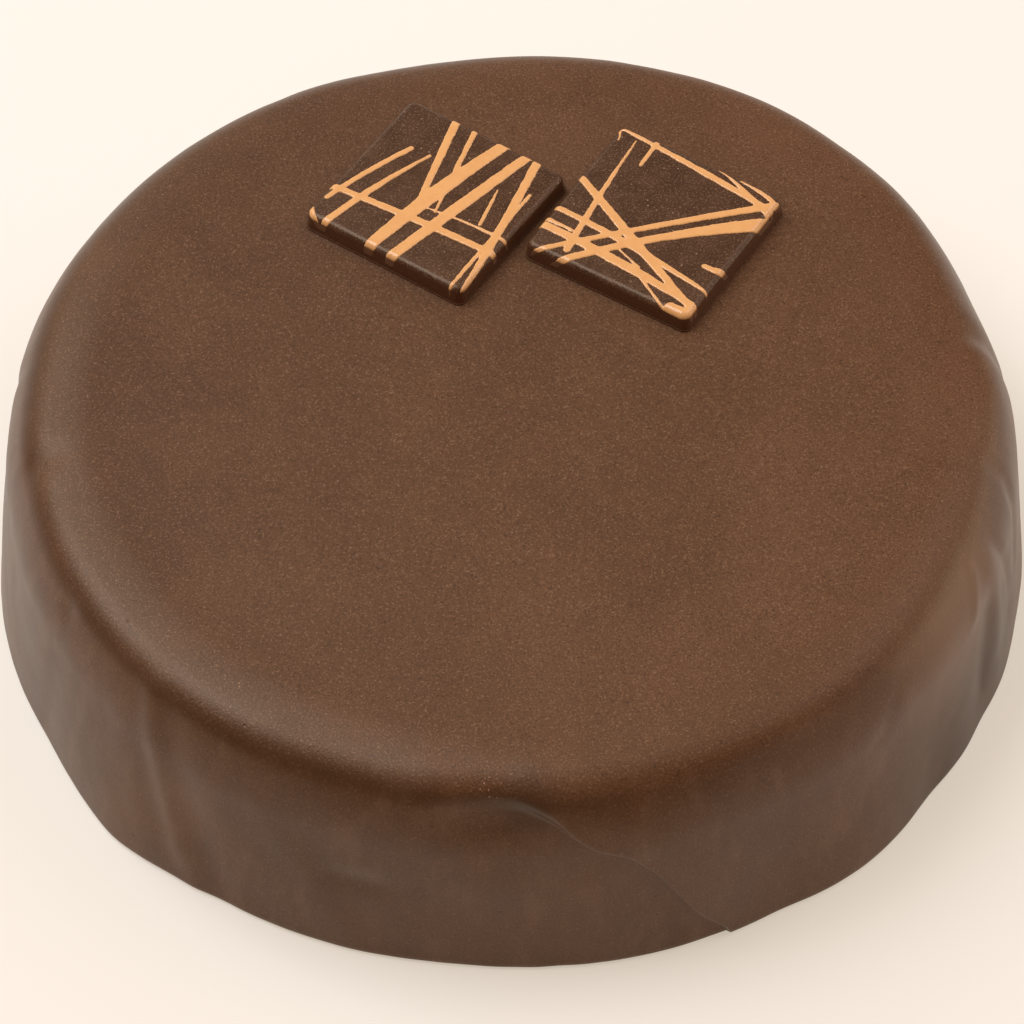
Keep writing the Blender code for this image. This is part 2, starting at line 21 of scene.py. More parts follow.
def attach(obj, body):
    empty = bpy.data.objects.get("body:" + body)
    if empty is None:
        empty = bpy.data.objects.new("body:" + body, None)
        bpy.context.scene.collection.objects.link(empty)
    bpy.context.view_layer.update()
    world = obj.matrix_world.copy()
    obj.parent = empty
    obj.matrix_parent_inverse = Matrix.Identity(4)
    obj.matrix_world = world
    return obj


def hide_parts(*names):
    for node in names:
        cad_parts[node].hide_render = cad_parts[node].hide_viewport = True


MM = 0.001
FULL_TURN = 2.0 * math.pi
SAME_PLACE = 0.01
SMOOTH_ANGLE = 35.0

Colour = tuple[float, float, float]
Point = tuple[float, float, float]
Span = tuple[float, float]

log = logging.getLogger("cake")
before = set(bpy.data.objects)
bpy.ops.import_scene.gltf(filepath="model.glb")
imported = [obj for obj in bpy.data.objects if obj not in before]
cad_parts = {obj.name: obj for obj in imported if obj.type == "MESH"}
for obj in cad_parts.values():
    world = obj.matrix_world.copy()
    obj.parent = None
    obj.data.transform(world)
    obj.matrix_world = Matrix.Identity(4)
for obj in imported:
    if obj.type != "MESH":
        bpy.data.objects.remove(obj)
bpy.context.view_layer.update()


class Slot(Enum):
    """The record's material slots."""

    COAT = "chocolate_coat"
    DARK = "dark_chocolate"
    DRIZZLE = "drizzle"


# ---------------------------------------------------------------- small maths


def ease(
    value: np.ndarray | float, start: np.ndarray | float, end: np.ndarray | float
) -> np.ndarray:
    """Smooth step.

    Args:
        value: where to read the step.
        start: where it is still 0; it may be larger than end.
        end: where it has reached 1.

    Returns:
        The step's height at each value.
    """
    share = np.clip((np.asarray(value, float) - start) / (end - start), 0.0, 1.0)
    return share * share * (3.0 - 2.0 * share)


def bell(distance: np.ndarray | float, half_width: float) -> np.ndarray:
    """A soft bump of height 1 around distance 0."""
    return np.exp(-((np.asarray(distance, float) / half_width) ** 2))


def turn_between(azimuth: np.ndarray, centre: np.ndarray | float) -> np.ndarray:
    """The angle from centre to azimuth, between -180 and 180 degrees."""
    return (azimuth - centre + 180.0) % 360.0 - 180.0


def smooth_table(value: np.ndarray, knots: Sequence[float], values: Sequence[float]) -> np.ndarray:
    """Read a table with a curve that has no corners at its knots.

    Args:
        value: where to read it.
        knots: the table's rising positions.
        values: what it holds there.

    Returns:
        The curve's height, held level past both ends.
    """
    x, y = np.asarray(knots, float), np.asarray(values, float)
    slopes = np.empty_like(y)
    slopes[1:-1] = (y[2:] - y[:-2]) / (x[2:] - x[:-2])
    slopes[0] = (y[1] - y[0]) / (x[1] - x[0])
    slopes[-1] = (y[-1] - y[-2]) / (x[-1] - x[-2])
    v = np.clip(np.asarray(value, float), x[0], x[-1])
    i = np.clip(np.searchsorted(x, v, side="left") - 1, 0, len(x) - 2)
    width = x[i + 1] - x[i]
    t = (v - x[i]) / width
    return (
        y[i] * (1 + 2 * t) * (1 - t) ** 2
        + y[i + 1] * t * t * (3 - 2 * t)
        + width * slopes[i] * t * (1 - t) ** 2
        - width * slopes[i + 1] * t * t * (1 - t)
    )


def cloud(places: np.ndarray, length: float, seed: float = 0.0) -> np.ndarray:
    """Soft three-dimensional noise.

    Args:
        places: one row of x, y, z for each reading.
        length: the size of its blobs.
        seed: shifts it to another part of the noise.

    Returns:
        A value between -1 and 1 for each place.
    """
    shift = Vector((seed, 0.7 * seed, -0.3 * seed))
    return np.array([noise.noise(Vector(p) / length + shift) for p in places])


# ---------------------------------------------------------------- modelling by hand


def only(thing: bpy.types.Object | None) -> None:
    """Leave one object selected and active, or none.

    Args:
        thing: the object, or None to leave nothing selected.
    """
    bpy.ops.object.select_all(action="DESELECT")
    bpy.context.view_layer.objects.active = thing
    if thing is not None:
        thing.select_set(True)


def coordinates(thing: bpy.types.Object) -> np.ndarray:
    """Read a mesh object's points.

    Args:
        thing: the mesh object.

    Returns:
        One row of x, y, z for each point, in millimetres.
    """
    flat = np.empty(3 * len(thing.data.vertices), np.float32)
    thing.data.vertices.foreach_get("co", flat)
    return flat.reshape(-1, 3).astype(float) / MM


def place_coordinates(thing: bpy.types.Object, places: np.ndarray) -> None:
    """Move a mesh object's points.

    Args:
        thing: the mesh object.
        places: one row of x, y, z for each point, in millimetres.
    """
    flat = np.ascontiguousarray(places * MM, np.float32).ravel()
    thing.data.vertices.foreach_set("co", flat)
    thing.data.update()


def select_points(thing: bpy.types.Object, chosen: np.ndarray) -> None:
    """In object mode, select some of a mesh's points and nothing else.

    Args:
        thing: the mesh object.
        chosen: true or false for each point.
    """
    mesh = thing.data
    mesh.polygons.foreach_set("select", np.zeros(len(mesh.polygons), bool))
    mesh.edges.foreach_set("select", np.zeros(len(mesh.edges), bool))
    mesh.vertices.foreach_set("select", chosen)


def select_edges(thing: bpy.types.Object, test: Callable[[Vector, Vector], bool]) -> None:
    """In object mode, select some of a mesh's edges and nothing else.

    Args:
        thing: the mesh object.
        test: whether an edge with these two ends, in millimetres, is wanted.
    """
    mesh = thing.data
    points = [vertex.co / MM for vertex in mesh.vertices]
    select_points(thing, np.zeros(len(mesh.vertices), bool))
    for edge in mesh.edges:
        edge.select = test(points[edge.vertices[0]], points[edge.vertices[1]])


def mend_mesh() -> None:
    """In edit mode, merge what meets and turn every face outwards."""
    bpy.ops.mesh.select_all(action="SELECT")
    bpy.ops.mesh.remove_doubles(threshold=0.000001)
    bpy.ops.mesh.normals_make_consistent(inside=False)


def finished(thing: bpy.types.Object, name: str, nodes: Iterable[str]) -> None:
    """Name a piece, let it ride on the cake and stand for its solids.

    Args:
        thing: the piece, at the origin with its place in its mesh.
        name: the piece's name.
        nodes: the solids that it replaces.
    """
    thing.name = name
    thing.data.name = name
    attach(thing, "root")
    for node in nodes:
        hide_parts(node)
    log.info("%s: %d points, %d faces", name, len(thing.data.vertices), len(thing.data.polygons))


# ---------------------------------------------------------------- shader maths


class Wire:
    """One output socket, with arithmetic that adds Math nodes to its tree."""

    def __init__(self, recipe: "Recipe", socket: bpy.types.NodeSocket) -> None:
        """Hold a socket and the recipe that it belongs to."""
        self.recipe = recipe
        self.socket = socket

    def _math(self, operation: str, *values: "Wire | float") -> "Wire":
        """Add a Math node that reads the values in order."""
        node = self.recipe.add("ShaderNodeMath", {"operation": operation}, dict(enumerate(values)))
        return Wire(self.recipe, node.outputs[0])

    def __add__(self, other: "Wire | float") -> "Wire":
        """The sum."""
        return self._math("ADD", self, other)

    __radd__ = __add__

    def __mul__(self, other: "Wire | float") -> "Wire":
        """The product."""
        return self._math("MULTIPLY", self, other)

    __rmul__ = __mul__

    def __sub__(self, other: "Wire | float") -> "Wire":
        """The difference."""
        return self._math("SUBTRACT", self, other)

    def __rsub__(self, other: float) -> "Wire":
        """A number less this."""
        return self._math("SUBTRACT", other, self)

    def step(self, start: float, end: float) -> "Wire":
        """Make a smooth step from 0 to 1.

        Args:
            start: the value where the step is still 0; it may be the larger.
            end: the value where it has reached 1.

        Returns:
            The step.
        """
        inputs = {"Value": self, "From Min": start, "From Max": end}
        settings = {"interpolation_type": "SMOOTHSTEP"}
        if start > end:
            inputs = {"Value": self, "From Min": end, "From Max": start, "To Min": 1.0, "To Max": 0.0}
        node = self.recipe.add("ShaderNodeMapRange", settings, inputs)
        return Wire(self.recipe, node.outputs["Result"])


class Recipe:
    """A material's node tree, built by hand."""

    def __init__(self, name: str) -> None:
        """Start a material that holds one Principled shader.

        Args:
            name: the material's name.
        """
        self.material = bpy.data.materials.new(name)
        self.material.use_nodes = True
        self.tree = self.material.node_tree
        self.shader = self.tree.nodes["Principled BSDF"]

    def add(
        self,
        kind: str,
        settings: Mapping[str, object] | None = None,
        inputs: Mapping[str | int, object] | None = None,
    ) -> bpy.types.Node:
        """Add any node.

        Args:
            kind: the node's type.
            settings: its properties, set before its sockets.
            inputs: values or wires by socket name, identifier or number.

        Returns:
            The node.
        """
        node = self.tree.nodes.new(kind)
        for key, value in (settings or {}).items():
            setattr(node, key, value)
        for key, value in (inputs or {}).items():
            self.feed(self._socket(node, key), value)
        return node

    @staticmethod
    def _socket(node: bpy.types.Node, key: str | int) -> bpy.types.NodeSocket:
        """Find an input of a node.

        Args:
            node: the node.
            key: the input's number, identifier or name.

        Returns:
            The socket.
        """
        if isinstance(key, int):
            return node.inputs[key]
        for socket in node.inputs:
            if socket.identifier == key:
                return socket
        return node.inputs[key]

    def feed(self, socket: bpy.types.NodeSocket, value: object) -> None:
        """Set a socket, or link a wire to it.

        Args:
            socket: the input.
            value: a number, a colour, a vector or a wire.
        """
        if isinstance(value, Wire):
            self.tree.links.new(value.socket, socket)
        elif socket.type == "RGBA":
            socket.default_value = (*value, 1.0)
        else:
            socket.default_value = value

    def set(self, **values: object) -> None:
        """Set or link the shader's own sockets; underscores stand for spaces."""
        for key, value in values.items():
            self.feed(self.shader.inputs[key.replace("_", " ")], value)

    def place(self) -> Wire:
        """The shaded point's place on the piece, in millimetres."""
        coordinate = self.add("ShaderNodeTexCoord")
        return self.scaled(Wire(self, coordinate.outputs["Object"]), (1.0 / MM,) * 3)

    def scaled(self, vector: Wire, factors: Point) -> Wire:
        """A vector with each of its parts multiplied."""
        node = self.add("ShaderNodeVectorMath", {"operation": "MULTIPLY"}, {0: vector, 1: factors})
        return Wire(self, node.outputs["Vector"])

    def distance(self, vector: Wire, point: Point) -> Wire:
        """How far a place is from a point."""
        node = self.add("ShaderNodeVectorMath", {"operation": "DISTANCE"}, {0: vector, 1: point})
        return Wire(self, node.outputs["Value"])

    def part(self, vector: Wire, letter: str) -> Wire:
        """The X, Y or Z of a vector."""
        node = self.add("ShaderNodeSeparateXYZ", None, {0: vector})
        return Wire(self, node.outputs[letter])

    def noise(self, vector: Wire, length: float, detail: float = 2.0, rough: float = 0.5) -> Wire:
        """Make soft noise.

        Args:
            vector: where to read it.
            length: the size of its blobs.
            detail: how many finer layers it has.
            rough: how strong the finer layers are.

        Returns:
            The noise, between 0 and 1.
        """
        values = {"Vector": vector, "Scale": 1.0 / length, "Detail": detail, "Roughness": rough}
        node = self.add("ShaderNodeTexNoise", {"noise_dimensions": "3D"}, values)
        return Wire(self, node.outputs["Fac"])

    def cells(self, vector: Wire, length: float) -> tuple[Wire, Wire]:
        """Scatter points, one to a cell.

        Args:
            vector: where to read them.
            length: the size of a cell.

        Returns:
            How far the nearest one is, in cell lengths, and a number of its own for each cell.
        """
        values = {"Vector": vector, "Scale": 1.0 / length}
        node = self.add("ShaderNodeTexVoronoi", {"feature": "F1"}, values)
        colour = Wire(self, node.outputs["Color"])
        return Wire(self, node.outputs["Distance"]), self.part(colour, "X")

    def mixed(self, share: Wire | float, first: object, second: object) -> Wire:
        """Mix two colours.

        Args:
            share: how much of the second there is.
            first: a colour or a wire.
            second: a colour or a wire.

        Returns:
            The mixture.
        """
        settings = {"data_type": "RGBA", "blend_type": "MIX", "clamp_factor": True}
        inputs = {"Factor_Float": share, "A_Color": first, "B_Color": second}
        node = self.add("ShaderNodeMix", settings, inputs)
        return Wire(self, next(s for s in node.outputs if s.identifier == "Result_Color"))

    def bump(self, height: Wire) -> Wire:
        """A normal that follows a height in millimetres."""
        inputs = {"Height": height, "Distance": MM, "Strength": 1.0}
        return Wire(self, self.add("ShaderNodeBump", None, inputs).outputs["Normal"])


@dataclass(frozen=True)
class Patch:
    """A round place where the coat is painted lighter as painted light or darker as painted shade, up to
    a ceiling, or where crumbs lie.
    """

    place: Point
    radius: float
    share: float = 1.0
    light: bool = True
    ceiling: float = 40.5


# Painted light and shade: the lighter patches stand for light on the right shoulder and on the left
# front wall, and the darker ones for shade on the right lower wall and under the lap's arch.
PAINTED_LIGHT_AND_SHADE_PATCHES = (
    Patch((78.0, -45.0, 33.0), 24.0, 0.50),
    Patch((86.0, -31.0, 34.0), 16.0, 0.26),
    Patch((81.0, -52.0, 4.0), 34.0, 0.65, light=False),
    Patch((90.0, -33.0, 12.0), 24.0, 0.65, light=False),
    Patch((3.1, -88.4, 39.6), 9.0, 0.55, light=False, ceiling=60.0),
    Patch((-58.5, -73.5, 22.0), 13.0, 0.25),
    Patch((-66.0, -66.0, 12.0), 16.0, 0.20),
)
CLUSTERS = (
    Patch((-3.6, -85.5, 42.0), 3.4),
    Patch((-47.5, -64.5, 43.5), 2.2),
)


@dataclass(frozen=True)
class CoatFinish:
    """Milk and dark chocolate poured warm: finely grained and dull on top, smoother on the wall.

    A Span is where a step over noise or over a place begins and where it ends.
    """

    deep: Colour = (0.0645, 0.0245, 0.0090)
    warm: Colour = (0.1015, 0.0410, 0.0158)
    # The speck colours tint real grain, streaks, pores and crumbs. They also give the painted light and
    # painted shade of the wall patches and the rim's dark ring.
    speck_and_painted_light: Colour = (0.205, 0.118, 0.070)
    speck_and_painted_shade: Colour = (0.030, 0.010, 0.004)
    crumb: Colour = (0.300, 0.170, 0.100)
    sheen_tint: Colour = (1.0, 0.82, 0.64)
    wall_to_top: Span = (38.5, 43.2)
    mottle_length: float = 26.0
    cloud_length: float = 5.2
    cloud_share: float = 0.35
    tone_contrast: Span = (0.35, 0.65)
    tone_spread: float = 0.5
    painted_light_slant: float = 0.0055
    grain_length: float = 0.38
    grain_height: float = 0.05
    light_grain: Span = (0.53, 0.76)
    light_share: float = 0.8
    dark_grain: Span = (0.46, 0.26)
    wall_grain: float = 0.55
    streak_length: float = 5.0
    streak_stretch: float = 0.3
    streak_depth: float = 0.16
    streak_light: Span = (0.5, 0.7)
    streak_dark: Span = (0.5, 0.3)
    patch_fade: float = 3.5
    # The ring settings place the painted shade ring under the rim.
    ring_height: float = 40.1
    ring_half_width: float = 2.2
    ring_right_end: Span = (36.0, 4.0)
    painted_shade_depth: float = 0.42
    pore_spacing: float = 5.5
    pore_size: Span = (0.075, 0.03)
    pore_odds: Span = (0.55, 0.60)
    pore_share: float = 0.6
    pore_depth: float = 0.05
    crumb_spacing: float = 0.7
    crumb_size: Span = (0.28, 0.12)
    crumb_light: Span = (0.62, 0.66)
    crumb_dark: Span = (0.34, 0.30)
    cluster_core: float = 0.4
    wave_length: float = 1.6
    wave_height: float = 0.03
    top_roughness: float = 0.45
    wall_roughness: float = 0.37
    roughness_spread: float = 0.12

    def material(self) -> bpy.types.Material:
        """Build the material.

        Returns:
            The material.
        """
        recipe = Recipe("chocolate_coat")
        place = recipe.place()
        top = recipe.part(place, "Z").step(*self.wall_to_top)
        graininess = top * (1.0 - self.wall_grain) + self.wall_grain
        mottle = recipe.noise(place, self.mottle_length, 3.0)
        grain = recipe.noise(place, self.grain_length, 2.0, 0.6)
        away, number = recipe.cells(place, self.pore_spacing)
        pores = away.step(*self.pore_size) * number.step(*self.pore_odds)
        colour = self.melted(recipe, place, mottle, top)
        light = grain.step(*self.light_grain) * graininess * self.light_share
        dark = grain.step(*self.dark_grain) * graininess
        colour = recipe.mixed(light, colour, self.speck_and_painted_light)
        colour = recipe.mixed(dark, colour, self.speck_and_painted_shade)
        colour = self.streaked(recipe, place, colour, top)
        # Painted light and shade: wide patches on the wall.
        colour = self.paint_light_and_shade_patches(recipe, place, colour)
        # Painted shade: a dark ring under the rim.
        colour = self.paint_shade_ring(recipe, place, colour)
        colour = recipe.mixed(pores * self.pore_share, colour, self.speck_and_painted_shade)
        colour = self.crumbed(recipe, place, colour)
        waves = recipe.noise(place, self.wave_length, 2.0) * self.wave_height
        relief = (grain * self.grain_height + waves) * graininess - pores * self.pore_depth
        level = self.wall_roughness + top * (self.top_roughness - self.wall_roughness)
        recipe.set(
            Base_Color=colour,
            Roughness=level + (mottle - 0.5) * self.roughness_spread,
            Specular_Tint=self.sheen_tint,
            Normal=recipe.bump(relief),
        )
        return recipe.material

    def melted(self, recipe: Recipe, place: Wire, mottle: Wire, top: Wire) -> Wire:
        """Mix the two chocolates in soft clouds, with the top painted lighter towards its right and
        darker towards its left as painted light and shade.

        Args:
            recipe: the material under way.
            place: the shaded point.
            mottle: the widest noise.
            top: 1 where the coat lies level, 0 on the wall.

        Returns:
            The coat's plain colour.
        """
        clouds = recipe.noise(place, self.cloud_length, 3.0)
        tone = mottle * (1.0 - self.cloud_share) + clouds * self.cloud_share
        tone = tone.step(*self.tone_contrast) * self.tone_spread + 0.5 * (1.0 - self.tone_spread)
        # Painted light and shade: the top's tone slopes lighter towards +X to offset how the key light
        # falls.
        across = recipe.part(place, "X") * top * self.painted_light_slant
        return recipe.mixed(tone + across, self.deep, self.warm)

    def streaked(self, recipe: Recipe, place: Wire, colour: Wire, top: Wire) -> Wire:
        """Streak the wall lighter and darker, as the coat ran down it.

        Args:
            recipe: the material under way.
            place: the shaded point.
            colour: the coat's colour so far.
            top: 1 where the coat lies level, 0 on the wall.

        Returns:
            The streaked colour.
        """
        drawn = recipe.scaled(place, (1.0, 1.0, self.streak_stretch))
        streaks = recipe.noise(drawn, self.streak_length, 3.0, 0.6)
        depth = (1.0 - top) * self.streak_depth
        lighter = recipe.mixed(streaks.step(*self.streak_light) * depth, colour, self.speck_and_painted_light)
        return recipe.mixed(streaks.step(*self.streak_dark) * depth, lighter, self.speck_and_painted_shade)

    def paint_light_and_shade_patches(self, recipe: Recipe, place: Wire, colour: Wire) -> Wire:
        """Lay the wall's wide patches of painted light and painted shade over its colour.

        Args:
            recipe: the material under way.
            place: the shaded point.
            colour: the coat's colour so far.

        Returns:
            The colour with its painted light and shade.
        """
        height = recipe.part(place, "Z")
        for patch in PAINTED_LIGHT_AND_SHADE_PATCHES:
            share = recipe.distance(place, patch.place).step(patch.radius, 0.0)
            share = share * height.step(patch.ceiling, patch.ceiling - self.patch_fade)
            # Light patches are painted light, and dark ones are painted shade.
            tone = self.speck_and_painted_light if patch.light else self.speck_and_painted_shade
            colour = recipe.mixed(share * patch.share, colour, tone)
        return colour

    def paint_shade_ring(self, recipe: Recipe, place: Wire, colour: Wire) -> Wire:
        """Darken the coat in a ring under the rim that ends at the right, as painted shade for the rim's
        dark band.

        Args:
            recipe: the material under way.
            place: the shaded point.
            colour: the coat's colour so far.

        Returns:
            The colour with its painted shade.
        """
        height = recipe.part(place, "Z")
        below = height.step(self.ring_height - self.ring_half_width, self.ring_height)
        above = height.step(self.ring_height + self.ring_half_width, self.ring_height)
        ending = recipe.part(place, "X").step(*self.ring_right_end)
        return recipe.mixed(below * above * ending * self.painted_shade_depth, colour, self.speck_and_painted_shade)

    def crumbed(self, recipe: Recipe, place: Wire, colour: Wire) -> Wire:
        """Scatter fine crumbs in a few places.

        Args:
            recipe: the material under way.
            place: the shaded point.
            colour: the coat's colour so far.

        Returns:
            The colour with its crumbs.
        """
        away, number = recipe.cells(place, self.crumb_spacing)
        crumbs = away.step(*self.crumb_size)
        light = crumbs * number.step(*self.crumb_light)
        dark = crumbs * number.step(*self.crumb_dark)
        for cluster in CLUSTERS:
            away = recipe.distance(place, cluster.place)
            near = away.step(cluster.radius, self.cluster_core * cluster.radius)
            colour = recipe.mixed(light * near, colour, self.crumb)
            colour = recipe.mixed(dark * near, colour, self.speck_and_painted_shade)
        return colour


@dataclass(frozen=True)
class DarkChocolateFinish:
    """Moulded dark chocolate with a faint bloom of fine specks, its sides painted lighter as painted
    light.
    """

    deep: Colour = (0.044, 0.0170, 0.0072)
    light: Colour = (0.062, 0.0262, 0.0122)
    # Painted light: the squares' sides get a lighter colour than their faces.
    side: Colour = (0.078, 0.0310, 0.0135)
    speck: Colour = (0.200, 0.116, 0.070)
    hollow: Colour = (0.020, 0.007, 0.003)
    spot: Colour = (0.330, 0.205, 0.130)
    sheen_tint: Colour = (1.0, 0.80, 0.62)
    face_depth: Span = (1.3, 0.3)
    side_bloom: float = 0.2
    mottle_length: float = 4.0
    mottle_contrast: Span = (0.35, 0.65)
    mottle_height: float = 0.03
    grain_length: float = 0.35
    grain_height: float = 0.05
    light_grain: Span = (0.52, 0.72)
    light_share: float = 0.75
    dark_grain: Span = (0.46, 0.28)
    dark_share: float = 0.8
    spot_spacing: float = 1.5
    spot_size: Span = (0.17, 0.07)
    spot_odds: Span = (0.66, 0.70)
    spot_share: float = 0.7
    roughness: float = 0.36
    roughness_spread: float = 0.12

    def material(self, level: float) -> bpy.types.Material:
        """Build the material.

        Args:
            level: the height of the squares' upper faces, near which the bloom lies.

        Returns:
            The material.
        """
        recipe = Recipe("dark_chocolate")
        place = recipe.place()
        face = recipe.part(place, "Z").step(level - self.face_depth[0], level - self.face_depth[1])
        bloom = face * (1.0 - self.side_bloom) + self.side_bloom
        mottle = recipe.noise(place, self.mottle_length, 3.0)
        grain = recipe.noise(place, self.grain_length, 2.0, 0.6)
        colour = recipe.mixed(mottle.step(*self.mottle_contrast), self.deep, self.light)
        # Painted light: below the face, the sides are painted lighter.
        colour = recipe.mixed(1.0 - face, colour, self.side)
        light = grain.step(*self.light_grain) * bloom * self.light_share
        colour = recipe.mixed(light, colour, self.speck)
        dark = grain.step(*self.dark_grain) * bloom * self.dark_share
        colour = recipe.mixed(dark, colour, self.hollow)
        away, number = recipe.cells(place, self.spot_spacing)
        spots = away.step(*self.spot_size) * number.step(*self.spot_odds) * bloom
        recipe.set(
            Base_Color=recipe.mixed(spots * self.spot_share, colour, self.spot),
            Roughness=self.roughness + (mottle - 0.5) * self.roughness_spread,
            Specular_Tint=self.sheen_tint,
            Normal=recipe.bump(grain * self.grain_height + mottle * self.mottle_height),
        )
        return recipe.material


@dataclass(frozen=True)
class DrizzleFinish:
    """Orange cocoa butter, turning dark brown where it has run down an edge."""

    orange: Colour = (0.695, 0.366, 0.143)
    thick: Colour = (0.725, 0.390, 0.155)
    run_down_brown: Colour = (0.165, 0.080, 0.043)
    run_down_depth: Span = (0.55, 1.15)
    patch_length: float = 1.8
    patch_contrast: Span = (0.35, 0.65)
    wave_length: float = 0.8
    wave_height: float = 0.008
    roughness: float = 0.17
    roughness_spread: float = 0.1

    def material(self, level: float) -> bpy.types.Material:
        """Build the material.

        Args:
            level: the height of the square's upper face.

        Returns:
            The material.
        """
        recipe = Recipe("drizzle")
        place = recipe.place()
        height = recipe.part(place, "Z")
        run_down = height.step(level - self.run_down_depth[0], level - self.run_down_depth[1])
        patches = recipe.noise(place, self.patch_length, 2.0)
        base = recipe.mixed(patches.step(*self.patch_contrast), self.orange, self.thick)
        recipe.set(
            Base_Color=recipe.mixed(run_down, base, self.run_down_brown),
            Roughness=self.roughness + (patches - 0.5) * self.roughness_spread,
            Normal=recipe.bump(recipe.noise(place, self.wave_length, 2.0) * self.wave_height),
        )
        return recipe.material


# ---------------------------------------------------------------- the coated cake


@dataclass(frozen=True)
class Swell:
    """A wide swelling or hollow of the wall or rim, outwards where positive."""

    azimuth: float
    half_width: float
    amount: float


@dataclass(frozen=True)
class Pleat:
    """A soft ridge, or a crease where negative, along a line up the wall."""

    azimuth_low: float
    run_low: float
    azimuth_high: float
    run_high: float
    half_width: float
    height: float


@dataclass(frozen=True)
class Dent:
    """A round hollow, or a pillow where positive."""

    azimuth: float
    run: float
    half_width: float
    half_height: float
    amount: float


@dataclass(frozen=True)
class Arc:
    """One arc of the coat's outline, walked upwards from its start."""

    start: float
    end: float
    radius: float
    height: float
    bend: float
    low: float


@dataclass
class CoatProfile:
    """The turned outline: leaning wall, wide shoulder, round rim, soft brow, flat top."""

    radius: float = 95.2
    height: float = 43.85
    wall_lean: float = 5.6
    shoulder_radius: float = 22.0
    shoulder_slope: float = 58.0
    rim_radius: float = 10.5
    brow_radius: float = 33.0
    brow_slope: float = 14.0
    foot_round: float = 0.9

    def __post_init__(self) -> None:
        """Work out where each arc begins and ends."""
        self.wall_tilt = math.radians(90.0 - self.wall_lean)
        shoulder, brow = math.radians(self.shoulder_slope), math.radians(self.brow_slope)
        bends = (
            (self.shoulder_radius, self.wall_tilt, shoulder),
            (self.rim_radius, shoulder, brow),
            (self.brow_radius, brow, 0.0),
        )
        height = self.height - sum(r * (math.cos(high) - math.cos(low)) for r, low, high in bends)
        self.wall_end = height / math.sin(self.wall_tilt)
        run, radius = self.wall_end, self.radius - self.wall_end * math.cos(self.wall_tilt)
        self.arcs = []
        for bend, low, high in bends:
            end = run + bend * (low - high)
            self.arcs.append(Arc(run, end, radius, height, bend, low))
            radius -= bend * (math.sin(low) - math.sin(high))
            height += bend * (math.cos(high) - math.cos(low))
            run = end
        self.shoulder_end, self.rim_end, self.brow_end = (arc.end for arc in self.arcs)
        self.flat_radius = radius

    def at(self, run: np.ndarray | float) -> tuple[np.ndarray, np.ndarray, np.ndarray]:
        """Read the outline.

        Args:
            run: distances up the surface.

        Returns:
            The radius, the height and the normal's tilt from straight up, in radians.
        """
        run = np.asarray(run, float)
        radius = self.radius - run * math.cos(self.wall_tilt)
        height = run * math.sin(self.wall_tilt)
        tilt = np.full_like(run, self.wall_tilt)
        for arc in self.arcs:
            here = run >= arc.start
            turned = arc.low - (run - arc.start) / arc.bend
            tilt = np.where(here, turned, tilt)
            radius = np.where(here, arc.radius - arc.bend * (math.sin(arc.low) - np.sin(turned)), radius)
            height = np.where(here, arc.height + arc.bend * (np.cos(turned) - math.cos(arc.low)), height)
        top = run >= self.brow_end
        radius = np.where(top, self.flat_radius - (run - self.brow_end), radius)
        return radius, np.where(top, self.height, height), np.where(top, 0.0, tilt)


@dataclass(frozen=True)
class Lip:
    """A point of the lip where the coat's last layer ends."""

    azimuth: float
    run: float
    share: float
    half_width: float


LIPS = (
    Lip(-66.0, -4.0, 0.45, 0.30),
    Lip(-66.1, 1.2, 0.45, 0.30),
    Lip(-68.8, 6.9, 0.70, 0.30),
    Lip(-70.6, 11.5, 0.90, 0.30),
    Lip(-72.4, 17.0, 1.00, 0.30),
    Lip(-74.2, 22.3, 1.00, 0.30),
    Lip(-75.9, 25.9, 1.00, 0.30),
    Lip(-77.5, 28.7, 1.00, 0.30),
    Lip(-79.4, 30.0, 1.00, 0.32),
    Lip(-81.2, 31.5, 1.00, 0.36),
    Lip(-82.9, 33.7, 1.00, 0.45),
    Lip(-85.0, 37.2, 1.00, 0.65),
    Lip(-88.0, 40.1, 0.80, 1.10),
    Lip(-90.4, 41.2, 0.60, 1.70),
    Lip(-92.7, 41.5, 0.42, 2.20),
    Lip(-96.5, 40.4, 0.22, 2.80),
    Lip(-99.5, 38.2, 0.10, 3.20),
    Lip(-104.0, 36.0, 0.0, 3.60),
)


